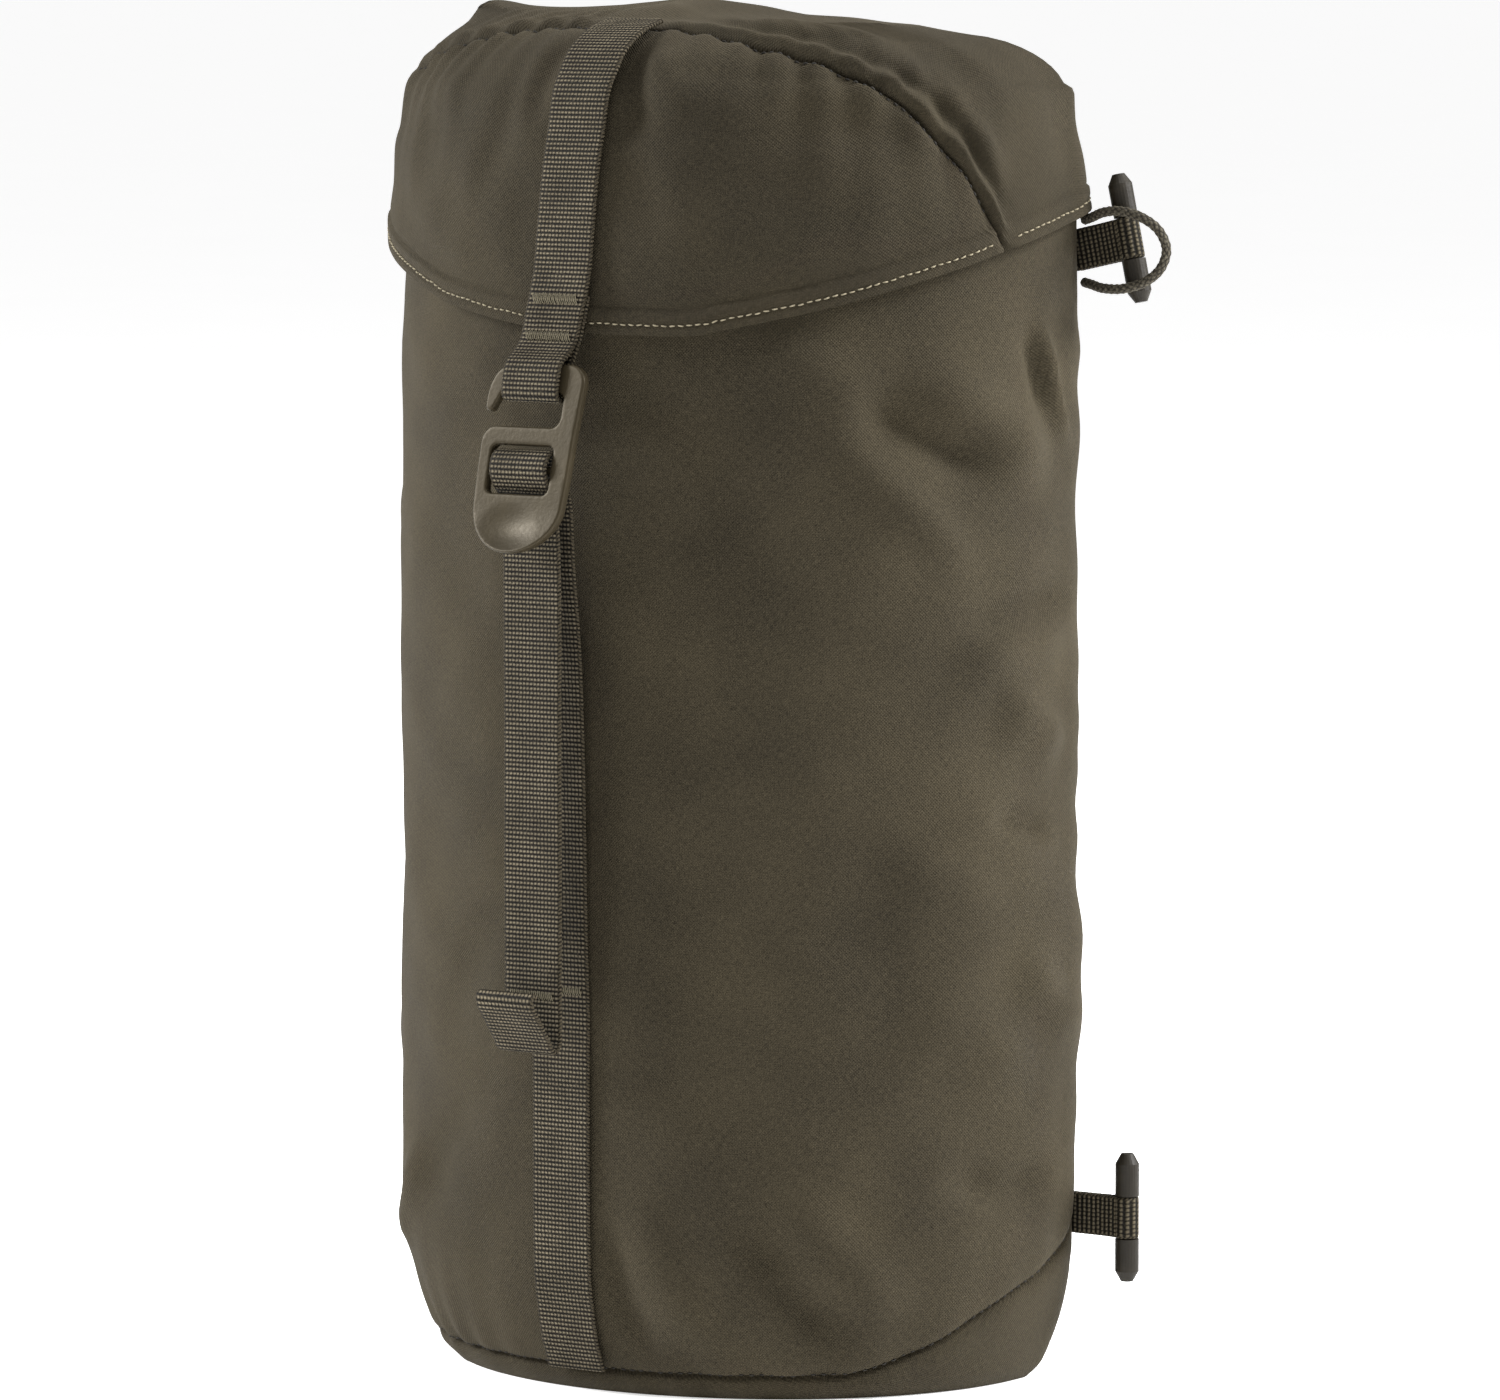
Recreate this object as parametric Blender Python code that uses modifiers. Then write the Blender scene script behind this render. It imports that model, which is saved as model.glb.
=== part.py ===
"""A lidded side pocket for a rucksack: a D-shaped sack that stands on its base, closed by a cap
whose strap is caught by a G-shaped hook, with four toggles at the back corners to hang it by.

The origin is the centre of the base. +Z is up, -Y is the front and +X is the wearer's right-hand side.
"""
import math

import bmesh
import bpy
from mathutils import Matrix, Vector

# The sack's D-shaped plan: a half ellipse in front of the widest line, and a flat back
HALF_WIDTH = 0.105
FRONT_Y = -0.060
WIDEST_Y = 0.036
BACK_Y = 0.060
CORNER_R = 0.018
CORNER_GROWTH = 0.3         # how fast a ring's rear corners round out as it moves inwards
SIDE_FLAT = 0.002           # the least straight side between the widest line and a rear corner
WALL = 0.0018
MOUTH_Z = 0.348
BACK_TOP_Z = 0.3417         # the back panel ends just under the cap's rear edge
COLLAR_LOW_Z = 0.338
COLLAR_TOP_Z = 0.360
COLLAR_INSET = 0.0021       # the channel is sewn inside the top of the wall
COLLAR_WALL = 0.0024
SEAM_Y = 0.0547             # the side seams, half way round the rear corners

# The cap stands proud of the sack all round, and meets it at the back
CAP_EASE = 0.004
CAP_BACK_EASE = 0.0021
CAP_BACK_RISE = 0.006       # the back stays upright while the rest draws in this far
CAP_SLOPE = 0.040           # the crown drops this much per metre towards the back
CROWN_INSET = 0.038         # inside this ring the crown is a shallow dome
CROWN_Y = 0.002

GAP = 0.0003                # between neighbours
WEB = 0.0014                # webbing thickness
STRAP_W = 0.020
TAB_W = 0.012

# The hook turns about the bar that its webbing passes over
HOOK_Y = FRONT_Y - 0.0186
HOOK_Z = 0.2684
HOOK_TILT = math.radians(14.5)
HOOK_THICK = 0.003
HOOK_BEVEL = 0.0005
BAR_R = 0.0015
BAR_DEPTH = 0.0008          # how far the bar sits behind the middle of the plate

SWING_Z = 0.096             # where the lower strap leaves the sewn one
TAIL_Z = 0.239

TOGGLE_LEN = 0.0375
TOGGLE_R = 0.0035
TOGGLE_ARM = 0.0167         # from the tab's pivot to the toggle
TAB_PIVOT_X = 0.1023
LOWER_TAB_Z = 0.048
UPPER_TAB_Z = 0.329
UPPER_TILT = math.radians(12.5)
CORD_D = 0.0028

parts = bpy.data.collections.new("side_pocket")
cutters = bpy.data.collections.new("cutters")


def material(name, rgb, roughness, metallic=0.0):
    made = bpy.data.materials.new(name)
    made.use_nodes = True
    shader = made.node_tree.nodes["Principled BSDF"]
    shader.inputs["Base Color"].default_value = (*rgb, 1)
    shader.inputs["Roughness"].default_value = roughness
    shader.inputs["Metallic"].default_value = metallic
    return made


def from_bmesh(bm, name, colour=None):
    """An object from a bmesh: a part if it has a material, otherwise a cutter."""
    mesh = bpy.data.meshes.new(name)
    bm.to_mesh(mesh)
    bm.free()
    made = bpy.data.objects.new(name, mesh)
    if colour:
        mesh.materials.append(colour)
        parts.objects.link(made)
    else:
        made.hide_render = True
        made.display_type = "WIRE"
        cutters.objects.link(made)
    return made


def solidify(ob, thickness, side):
    """Thickness to the inner side of a sheet (-1) or half each way (0)."""
    mod = ob.modifiers.new("thickness", "SOLIDIFY")
    mod.thickness = thickness
    mod.offset = side
    mod.use_even_offset = True


def boolean(ob, cutter, operation):
    mod = ob.modifiers.new(operation.lower(), "BOOLEAN")
    mod.operation = operation
    mod.object = cutter


def smooth_path(points, steps):
    """A Catmull-Rom curve through the points, with this many steps between each two."""
    given = [Vector(p) for p in points]
    ends = [2 * given[0] - given[1]] + given + [2 * given[-1] - given[-2]]
    path = []
    for a, b, c, d in zip(ends, ends[1:], ends[2:], ends[3:]):
        for i in range(steps):
            t = i / steps
            path.append(0.5 * (2 * b + (c - a) * t + (2 * a - 5 * b + 4 * c - d) * t**2
                               + (3 * b - a - 3 * c + d) * t**3))
    return path + [given[-1]]


# ---- sheets that follow the D-shaped plan


def plan(inset, ease=0.0, back_ease=0.0):
    """The D-shaped outline moved inwards, anticlockwise from above, from the right side's widest point."""
    a = HALF_WIDTH + ease - inset
    front = FRONT_Y - ease + inset
    back = BACK_Y + back_ease - inset
    r = math.hypot(CORNER_R + ease - inset, CORNER_GROWTH * inset)
    widest = min(WIDEST_Y, back - r - SIDE_FLAT)
    points = []
    for i in range(7):
        t = math.radians(15 * i)
        points.append((a - r + r * math.cos(t), back - r + r * math.sin(t)))
    for i in range(1, 6):
        points.append(((a - r) * (1 - i / 3), back))
    for i in range(7):
        t = math.radians(90 + 15 * i)
        points.append((r - a + r * math.cos(t), back - r + r * math.sin(t)))
    for i in range(40):
        t = math.pi + math.pi * i / 40
        points.append((a * math.cos(t), widest + (widest - front) * math.sin(t)))
    return points


def loft(name, rings, colour, caps=""):
    """A sheet through rings of equal length, each anticlockwise from above, lowest ring first."""
    bm = bmesh.new()
    rows = [[bm.verts.new(p) for p in ring] for ring in rings]
    for low, high in zip(rows, rows[1:]):
        for i in range(len(low)):
            j = (i + 1) % len(low)
            bm.faces.new((low[i], low[j], high[j], high[i]))
    if "bottom" in caps:
        bm.faces.new(rows[0][::-1])
    if "top" in caps:
        bm.faces.new(rows[-1])
    return from_bmesh(bm, name, colour)


def zone(name, outline):
    """A cutter: an outline in the YZ plane, drawn out across the whole width."""
    bm = bmesh.new()
    reach = HALF_WIDTH * 1.4
    face = bm.faces.new([bm.verts.new((-reach, y, z)) for y, z in outline])
    grown = bmesh.ops.extrude_face_region(bm, geom=[face])["geom"]
    far = [g for g in grown if isinstance(g, bmesh.types.BMVert)]
    bmesh.ops.translate(bm, vec=(2 * reach, 0, 0), verts=far)
    bmesh.ops.recalc_face_normals(bm, faces=bm.faces)
    return from_bmesh(bm, name)


def raised(line, by):
    return [(y, z + by) for y, z in line]


def sack_sheet(name, colour):
    """The whole outer wall, with its rounded foot and flat base."""
    profile = [(0.013, 0), (0.0096, 0.0035), (0.0075, 0.0075), (0.0040, 0.017), (0.0018, 0.026),
               (0.0006, 0.035), (0, 0.050), (0, 0.140), (0, 0.240), (0, MOUTH_Z)]
    rings = [[(x, y, z) for x, y in plan(inset)] for inset, z in profile]
    sheet = loft(name, rings, colour, caps="bottom")
    solidify(sheet, WALL, -1)
    return sheet


# Seam between wall and base, seen from the side: low round the front, high at the rear corners
BASE_SEAM = [(-0.10, 0.0062), (-0.030, 0.0064), (-0.020, 0.0075), (-0.005, 0.014), (0.008, 0.022),
             (0.020, 0.028), (0.030, 0.032), (0.040, 0.0375), (0.048, 0.044), (0.054, 0.049), (0.10, 0.049)]


def sack():
    fabric = material("sack_fabric", (0.075, 0.062, 0.043), 0.85)
    mesh_fabric = material("back_fabric", (0.045, 0.040, 0.030), 0.9)
    below = zone("below_base_seam", [(-0.10, -0.05)] + raised(BASE_SEAM, -GAP / 2) + [(0.10, -0.05)])
    top = MOUTH_Z + 0.05
    above = raised(BASE_SEAM, GAP / 2)
    ahead = [p for p in above if p[0] < SEAM_Y - GAP / 2] + [(SEAM_Y - GAP / 2, above[-1][1])]
    wrap = zone("round_the_front", ahead + [(SEAM_Y - GAP / 2, top), (-0.10, top)])
    edge = SEAM_Y + GAP / 2
    foot = above[-1][1]
    behind = zone("behind_the_seams", [(edge, foot), (0.10, foot), (0.10, BACK_TOP_Z), (edge, BACK_TOP_Z)])
    for name, colour, cutter in (("base_panel", fabric, below), ("body_panel", fabric, wrap),
                                 ("back_panel", mesh_fabric, behind)):
        boolean(sack_sheet(name, colour), cutter, "INTERSECT")


def mouth():
    """The drawcord's channel round the mouth, and the two eyelets that the cord comes out of."""
    lining = material("mouth_fabric", (0.060, 0.052, 0.038), 0.85)
    metal = material("eyelet_metal", (0.10, 0.09, 0.07), 0.45, 0.9)
    rings = [[(x, y, z) for x, y in plan(COLLAR_INSET)] for z in (COLLAR_LOW_Z, COLLAR_TOP_Z)]
    collar = loft("mouth_channel", rings, lining)
    solidify(collar, COLLAR_WALL, -1)
    z = COLLAR_TOP_Z - 0.0075
    y = FRONT_Y + COLLAR_INSET
    for side, x in (("left", -0.0085), ("right", 0.0085)):
        bm = bmesh.new()
        bmesh.ops.create_cone(bm, cap_ends=True, segments=24, radius1=0.0030, radius2=0.0030, depth=0.02)
        hole = from_bmesh(bm, "eyelet_hole_" + side)
        hole.matrix_world = Matrix.Translation((x, y, z)) @ Matrix.Rotation(math.pi / 2, 4, "X")
        boolean(collar, hole, "DIFFERENCE")
        profile = [(0.0019, -0.0026), (0.0019, 0.0026), (0.0036, 0.0026), (0.0036, 0.0021),
                   (0.0026, 0.0021), (0.0026, -0.0026)]
        ring = turned("eyelet_" + side, profile, metal, 24, closed=True)
        ring.matrix_world = Matrix.Translation((x, y + 0.0019, z)) @ Matrix.Rotation(math.pi / 2, 4, "X")


def turned(name, profile, colour, steps, closed=False):
    """A profile of (radius, height) points turned about Z, down its outer side."""
    bm = bmesh.new()
    verts = [bm.verts.new((r, 0, z)) for r, z in profile]
    for a, b in zip(verts, verts[1:] + verts[:1] if closed else verts[1:]):
        bm.edges.new((a, b))
    ob = from_bmesh(bm, name, colour)
    screw = ob.modifiers.new("turn", "SCREW")
    screw.steps = steps
    screw.render_steps = steps
    screw.use_merge_vertices = True
    screw.merge_threshold = 0.00001
    return ob


# ---- the cap


# The cap's edge from the front to the back, and the seam between its two panels, seen from the side
HEM = [(-0.090, 0.307), (-0.0595, 0.308), (-0.052, 0.311), (-0.042, 0.316), (-0.020, 0.323),
       (-0.003, 0.327), (0.0096, 0.3305), (0.040, 0.338), (0.056, 0.342), (0.090, 0.342)]
CAP_SEAM = [(0.0096, 0.3305), (0.0083, 0.3340), (0.0042, 0.3423), (-0.001, 0.3525), (-0.0072, 0.361),
            (-0.0156, 0.3728), (-0.0266, 0.3838), (-0.0335, 0.389), (-0.0342, 0.393), (-0.0342, 0.45)]


def cap_sheet(name, colour):
    profile = [(0, 0.295), (0, 0.315), (0, 0.333), (0.0013, 0.346), (0.0026, 0.357), (0.0042, 0.364),
               (0.0060, 0.3745), (0.0090, 0.3805), (0.0130, 0.3858), (0.0206, 0.3912), (0.029, 0.3945),
               (CROWN_INSET, 0.3970)]
    rings = []
    for inset, z in profile:
        drop = CAP_SLOPE if inset > 0.008 else 0
        upright = min(inset, CAP_BACK_RISE)
        ring = plan(inset, CAP_EASE, CAP_BACK_EASE + upright)
        rings.append([(x, y, z - drop * (y - FRONT_Y)) for x, y in ring])
    for share, rise in ((0.65, 0.0022), (0.30, 0.0036)):
        rings.append([(x * share, CROWN_Y + (y - CROWN_Y) * share, z + rise) for x, y, z in rings[-1]])
    sheet = loft(name, rings, colour, caps="top")
    solidify(sheet, WALL, -1)
    return sheet


def cap():
    front_fabric = material("cap_front_fabric", (0.070, 0.058, 0.041), 0.85)
    top_fabric = material("cap_top_fabric", (0.085, 0.072, 0.052), 0.85)
    front_hem = [p for p in HEM if p[0] < CAP_SEAM[0][0]]
    back_hem = [p for p in HEM if p[0] > CAP_SEAM[0][0]]
    half = GAP / 2
    seam_front = [(y - half, z) for y, z in CAP_SEAM]
    seam_back = [(y + half, z) for y, z in CAP_SEAM]
    front = zone("cap_front_zone", front_hem + seam_front + [(-0.090, 0.45)])
    back = zone("cap_top_zone", seam_back[::-1] + back_hem + [(0.090, 0.45)])
    boolean(cap_sheet("lid_front_panel", front_fabric), front, "INTERSECT")
    boolean(cap_sheet("lid_top_panel", top_fabric), back, "INTERSECT")


# ---- webbing in the middle of the front


def ribbon(name, side_view, width, colour, steps=1):
    """Webbing across X, along a line in the YZ plane, given as (distance in front of the sack, height)."""
    bm = bmesh.new()
    path = smooth_path([(0, FRONT_Y - out, z) for out, z in side_view], steps)
    left = [bm.verts.new((-width / 2, p.y, p.z)) for p in path]
    right = [bm.verts.new((width / 2, p.y, p.z)) for p in path]
    for i in range(len(path) - 1):
        bm.faces.new((left[i], right[i], right[i + 1], left[i + 1]))
    ob = from_bmesh(bm, name, colour)
    solidify(ob, WEB, 0)
    return ob


def straps():
    webbing = material("webbing", (0.075, 0.062, 0.045), 0.8)
    top = FRONT_Y - 0.0345
    lid_line = [(0.0073, 0.3056), (0.0072, 0.3135), (0.0070, 0.319), (0.0056, 0.326), (0.0051, 0.334),
                (0.0040, 0.346), (0.0026, 0.3575), (0.0011, 0.3645), (-0.0007, 0.3752), (-0.0040, 0.3818),
                (-0.0080, 0.3871), (-0.0159, 0.3921), (-0.0252, 0.3952)]
    ribbon("lid_strap", lid_line, STRAP_W, webbing, 2)
    ribbon("lid_strap_end", [(0.0054, 0.3056), (0.0054, 0.3178)], STRAP_W, webbing)
    loop_line = [(0.0074, 0.3052), (0.0094, 0.3019), (0.0136, 0.2986), (0.0150, 0.2944), (0.0156, 0.2906),
                 (0.0150, 0.2890), (0.0134, 0.2883), (0.0114, 0.2885), (0.0104, 0.2901), (0.0086, 0.2974),
                 (0.0066, 0.3016), (0.0056, 0.3052)]
    ribbon("lid_strap_loop", loop_line, STRAP_W, webbing, 2)

    anchor_line = [(0.0011, SWING_Z - GAP), (0.0011, 0.055), (0.0006, 0.035), (-0.0008, 0.026),
                   (-0.0027, 0.0166), (-0.0063, 0.0071)]
    ribbon("anchor_strap", anchor_line, STRAP_W, webbing, 2)
    leg_line = [(0.0011, SWING_Z), (0.0011, 0.112), (0.0017, 0.126), (0.0042, 0.207), (0.0077, 0.239),
                (0.0090, 0.2564), (0.0100, 0.2612)]
    ribbon("strap_leg", leg_line, STRAP_W, webbing, 2)

    round_bar = []
    bar_out = FRONT_Y - HOOK_Y - BAR_DEPTH * math.cos(HOOK_TILT)
    bar_z = HOOK_Z - BAR_DEPTH * math.sin(HOOK_TILT)
    for degrees in range(120, -91, -30):
        t = math.radians(degrees)
        r = BAR_R + 2 * GAP + WEB / 2
        round_bar.append((bar_out + r * math.cos(t), bar_z + r * math.sin(t)))
    turn_line = [(0.0102, 0.2615), (0.0126, 0.2664)] + round_bar
    turn_line += [(0.0165, 0.2644), (0.0158, 0.2604), (0.0150, 0.2510), (0.0147, TAIL_Z + GAP)]
    ribbon("strap_turn", turn_line, STRAP_W, webbing, 2)

    ribbon("strap_tail", [(0.0147, TAIL_Z), (0.0146, 0.200), (0.0146, 0.150), (0.0146, 0.1196)],
           STRAP_W, webbing)
    fold_line = [(0.0146, 0.1193), (0.0146, 0.1065), (0.0153, 0.1035), (0.0168, 0.1023), (0.0187, 0.1033),
                 (0.0206, 0.1062), (0.0234, 0.1100), (0.0262, 0.1136), (0.0281, 0.1162), (0.0285, 0.1182),
                 (0.0275, 0.1195), (0.0261, 0.1190)]
    ribbon("tail_fold", fold_line, STRAP_W, webbing, 2)


# ---- the hook


def arc(cx, cy, rx, ry, start, end, steps):
    """Points of an elliptical arc, in degrees, both ends included."""
    turns = [math.radians(start + (end - start) * i / steps) for i in range(steps + 1)]
    return [(cx + rx * math.cos(t), cy + ry * math.sin(t)) for t in turns]


def hook_outline():
    """The G in the plane of the plate, in millimetres from the bar's axis, anticlockwise."""
    foot = arc(0.35, -9.5, 15.55, 14.9, 180, 360, 24)
    right_side = [(16.3, -2), (16.6, 10)] + arc(11.9, 25.2, 5.6, 5.7, 0, 90, 8)
    leaf = arc(-9.5, 19.6, 6.3, 10.4, 90, 172, 8) + arc(-14.4, 18.2, 1.4, 1.5, 190, 330, 5)
    arm = [(-10.9, 21.9), (-9.8, 22.4)] + arc(9.2, 20.5, 1.9, 1.9, 90, 0, 5)
    throat = [(11.0, 17.0)] + arc(8.0, 15.6, 3.0, 3.1, 0, -90, 6)
    bar_top = arc(-10.8, 7.5, 4.8, 5.0, 90, 180, 7) + [(-15.5, -2)]
    return foot + right_side + leaf + arm + throat + bar_top


def slot_outline():
    corners = []
    for cx, cy, start in ((8.2, 5.2, 0), (-9.4, 5.2, 90), (-9.4, -5.0, 180), (8.2, -5.0, 270)):
        corners += arc(cx, cy, 2.0, 2.0, start, start + 90, 5)
    return corners


def prism(name, outline, depth, colour=None):
    """An outline in millimetres in the XZ plane, drawn out along Y to both sides."""
    bm = bmesh.new()
    face = bm.faces.new([bm.verts.new((x / 1000, -depth, z / 1000)) for x, z in outline])
    grown = bmesh.ops.extrude_face_region(bm, geom=[face])["geom"]
    far = [g for g in grown if isinstance(g, bmesh.types.BMVert)]
    bmesh.ops.translate(bm, vec=(0, 2 * depth, 0), verts=far)
    bmesh.ops.recalc_face_normals(bm, faces=bm.faces)
    return from_bmesh(bm, name, colour)


def bent_slab():
    """The plate before it is cut out: flat, with its foot curled outwards for the thumb."""
    bm = bmesh.new()
    rows = []
    heights = [0.034, -0.010] + [-0.010 - 0.0012 * i for i in range(1, 14)]
    for z in heights:
        curl = 13.0 * max(0, -0.010 - z) ** 2
        rows.append([bm.verts.new((x, -curl, z)) for x in (-0.020, 0.020)])
    for above, below in zip(rows, rows[1:]):
        bm.faces.new((below[0], below[1], above[1], above[0]))
    slab = from_bmesh(bm, "hook_slab")
    solidify(slab, HOOK_THICK, 0)
    return slab


def hook():
    steel = material("hook_metal", (0.105, 0.090, 0.066), 0.5, 0.6)
    place = Matrix.Translation((0, HOOK_Y, HOOK_Z)) @ Matrix.Rotation(-HOOK_TILT, 4, "X")
    plate = prism("g_hook", hook_outline(), 0.008, steel)
    slot = prism("hook_slot", slot_outline(), 0.010)
    slab = bent_slab()
    bm = bmesh.new()
    bmesh.ops.create_cone(bm, cap_ends=True, segments=20, radius1=BAR_R, radius2=BAR_R, depth=0.0236)
    bar = from_bmesh(bm, "hook_bar")
    for ob in (plate, slot, slab):
        ob.matrix_world = place
    bar.matrix_world = place @ Matrix.Translation((-0.0006, BAR_DEPTH, 0)) @ Matrix.Rotation(math.pi / 2, 4, "Y")
    boolean(plate, slot, "DIFFERENCE")
    boolean(plate, slab, "INTERSECT")
    edges = plate.modifiers.new("edges", "BEVEL")
    edges.width = HOOK_BEVEL
    edges.segments = 2
    edges.limit_method = "ANGLE"
    edges.angle_limit = math.radians(50)
    boolean(plate, bar, "UNION")


# ---- toggles, the webbing tabs that hold them, and the cord loops


def toggle_profile():
    """Pointed ends, a straight barrel, and a waist that the webbing fills flush."""
    half, waist = TOGGLE_LEN / 2, TAB_W / 2 + GAP
    core = TOGGLE_R - WEB - GAP
    return [(0, half), (0.0018, half), (TOGGLE_R, half - 0.003), (TOGGLE_R, waist), (core, waist),
            (core, -waist), (TOGGLE_R, -waist), (TOGGLE_R, 0.003 - half), (0.0018, -half), (0, -half)]


def tab(name, colour):
    """Webbing from the pivot out to the toggle, round its waist and back, in its own frame."""
    wrap = TOGGLE_R - WEB / 2
    layer = (WEB + GAP) / 2
    start = math.degrees(math.asin(layer / wrap))
    line = [(0.0010, layer), (0.0080, layer)]
    turn = arc(TOGGLE_ARM, 0, wrap, wrap, 180 - start - 18, start - 180 + 18, 16)
    line = line + turn + [(0.0080, -layer), (0.0010, -layer)]
    bm = bmesh.new()
    low = [bm.verts.new((x, y, -TAB_W / 2)) for x, y in line]
    high = [bm.verts.new((x, y, TAB_W / 2)) for x, y in line]
    for i in range(len(line) - 1):
        bm.faces.new((low[i], low[i + 1], high[i + 1], high[i]))
    ob = from_bmesh(bm, name, colour)
    solidify(ob, WEB, 0)
    return ob


def hanging_points():
    webbing = material("tab_webbing", (0.050, 0.044, 0.034), 0.85)
    plastic = material("toggle_plastic", (0.043, 0.035, 0.028), 0.55)
    for side, sign in (("left", -1), ("right", 1)):
        for level, z, tilt in (("upper", UPPER_TAB_Z, UPPER_TILT), ("lower", LOWER_TAB_Z, 0.0)):
            turn = Matrix.Rotation(math.pi, 4, "Z") if sign < 0 else Matrix.Identity(4)
            pivot = bpy.data.objects.new(f"pivot_{level}_{side}", None)
            pivot.matrix_world = (Matrix.Translation((sign * TAB_PIVOT_X, SEAM_Y, z)) @ turn
                                  @ Matrix.Rotation(-tilt, 4, "Y"))
            parts.objects.link(pivot)
            web = tab(f"tab_{level}_{side}", webbing)
            web.parent = pivot
            peg = turned(f"toggle_{level}_{side}", toggle_profile(), plastic, 24)
            peg.parent = pivot
            peg.location = (TOGGLE_ARM, 0, 0)


# The loop's route on the right-hand side, from above the tab, round in front of the toggle, to below it
CORD_ROUTE = [(0.1034, 0.0542, 0.3375), (0.1070, 0.0526, 0.3384), (0.1125, 0.0499, 0.3400),
              (0.1190, 0.0486, 0.3406), (0.1260, 0.0484, 0.3392), (0.1318, 0.0490, 0.3356),
              (0.1342, 0.0498, 0.3300), (0.1322, 0.0496, 0.3242), (0.1270, 0.0488, 0.3202),
              (0.1200, 0.0484, 0.3183), (0.1125, 0.0500, 0.3182), (0.1070, 0.0526, 0.3190),
              (0.1034, 0.0542, 0.3195)]


def cord_loops():
    cord = material("cord", (0.055, 0.048, 0.036), 0.85)
    for side, sign in (("left", -1), ("right", 1)):
        path = smooth_path([(sign * x, y, z) for x, y, z in CORD_ROUTE], 2)
        curve = bpy.data.curves.new("cord_loop_" + side, "CURVE")
        curve.dimensions = "3D"
        curve.bevel_depth = CORD_D / 2
        curve.bevel_resolution = 2
        curve.use_fill_caps = True
        spline = curve.splines.new("POLY")
        spline.points.add(len(path) - 1)
        for point, place in zip(spline.points, path):
            point.co = (*place, 1)
        curve.materials.append(cord)
        parts.objects.link(bpy.data.objects.new("cord_loop_" + side, curve))


for old in list(bpy.data.objects):
    bpy.data.objects.remove(old, do_unlink=True)
bpy.context.scene.collection.children.link(parts)
bpy.context.scene.collection.children.link(cutters)
sack()
mouth()
cap()
straps()
hook()
hanging_points()
cord_loops()
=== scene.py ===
import math
import random

import bmesh
import bpy
import numpy as np
from mathutils import Matrix, Vector


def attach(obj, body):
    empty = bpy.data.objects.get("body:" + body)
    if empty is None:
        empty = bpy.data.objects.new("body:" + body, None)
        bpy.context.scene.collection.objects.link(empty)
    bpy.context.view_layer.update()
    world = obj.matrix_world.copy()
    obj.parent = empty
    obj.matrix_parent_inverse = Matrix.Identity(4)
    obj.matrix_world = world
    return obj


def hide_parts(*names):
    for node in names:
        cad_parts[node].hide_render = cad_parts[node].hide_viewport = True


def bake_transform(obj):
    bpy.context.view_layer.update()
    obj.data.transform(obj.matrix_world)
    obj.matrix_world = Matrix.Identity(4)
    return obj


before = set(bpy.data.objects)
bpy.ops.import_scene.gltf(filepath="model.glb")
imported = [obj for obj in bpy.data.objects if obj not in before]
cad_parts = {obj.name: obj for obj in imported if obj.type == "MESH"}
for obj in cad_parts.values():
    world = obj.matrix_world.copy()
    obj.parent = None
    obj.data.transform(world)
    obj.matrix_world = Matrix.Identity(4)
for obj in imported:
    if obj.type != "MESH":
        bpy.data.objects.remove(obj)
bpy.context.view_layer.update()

scene = bpy.context.scene


# ---- The studio
# A white floor that runs out of sight, a white room, and three soft lights: one beside the sack on
# each side and one above it. The sack is seen from its front right, from a little above.

LENS = 217.9
LENS_TURN = 35              # how far round to the right of the sack the lens stands, in degrees
look_from = Vector((1.528, -2.150, 0.448))
look_at = Vector((0.0438, -0.0291, 0.2015))
camera = bpy.data.objects.new("camera", bpy.data.cameras.new("camera"))
camera.data.lens = LENS
camera.data.sensor_width = 36
camera.location = look_from
camera.rotation_euler = (look_at - look_from).to_track_quat("-Z", "Y").to_euler()
scene.collection.objects.link(camera)
scene.camera = camera
scene.view_settings.view_transform = "Standard"


def soft_light(name, turn, rise, away, size, power):
    """A square of light, turned this far from the lens, that looks at the middle of the sack."""
    light = bpy.data.objects.new(name, bpy.data.lights.new(name, "AREA"))
    light.data.size = size
    light.data.energy = power
    around = math.radians(LENS_TURN + turn)
    up = math.radians(rise)
    level = math.cos(up)
    toward = Vector((math.sin(around) * level, -math.cos(around) * level, math.sin(up)))
    light.location = look_at + away * toward
    light.rotation_euler = (-toward).to_track_quat("-Z", "Y").to_euler()
    scene.collection.objects.link(light)


soft_light("light_left", -96, 26, 2.2, 0.8, 64)
soft_light("light_right", 88, 34, 2.2, 0.8, 100)
soft_light("light_above", 30, 74, 2.4, 0.9, 24)
room = bpy.data.worlds.new("room")
room.use_nodes = True
room.node_tree.nodes["Background"].inputs["Color"].default_value = (1, 1, 1, 1)
room.node_tree.nodes["Background"].inputs["Strength"].default_value = 0.48
scene.world = room

bm = bmesh.new()
bmesh.ops.create_circle(bm, cap_ends=True, segments=96, radius=40)
floor = bpy.data.objects.new("floor", bpy.data.meshes.new("floor"))
bm.to_mesh(floor.data)
bm.free()
scene.collection.objects.link(floor)


class Tone:
    """A value that varies over a surface. Sums on it add Math nodes to the finish it belongs to."""

    def __init__(self, finish, socket):
        self.finish = finish
        self.socket = socket

    def math(self, operation, first, second):
        return self.finish.add("ShaderNodeMath", {"operation": operation}, {0: first, 1: second})

    def __add__(self, other):
        return self.math("ADD", self, other)

    def __radd__(self, other):
        return self.math("ADD", other, self)

    def __sub__(self, other):
        return self.math("SUBTRACT", self, other)

    def __rsub__(self, other):
        return self.math("SUBTRACT", other, self)

    def __mul__(self, other):
        return self.math("MULTIPLY", self, other)

    def __rmul__(self, other):
        return self.math("MULTIPLY", other, self)

    def __truediv__(self, other):
        return self.math("DIVIDE", self, other)

    def __pow__(self, other):
        return self.math("POWER", self, other)


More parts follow.
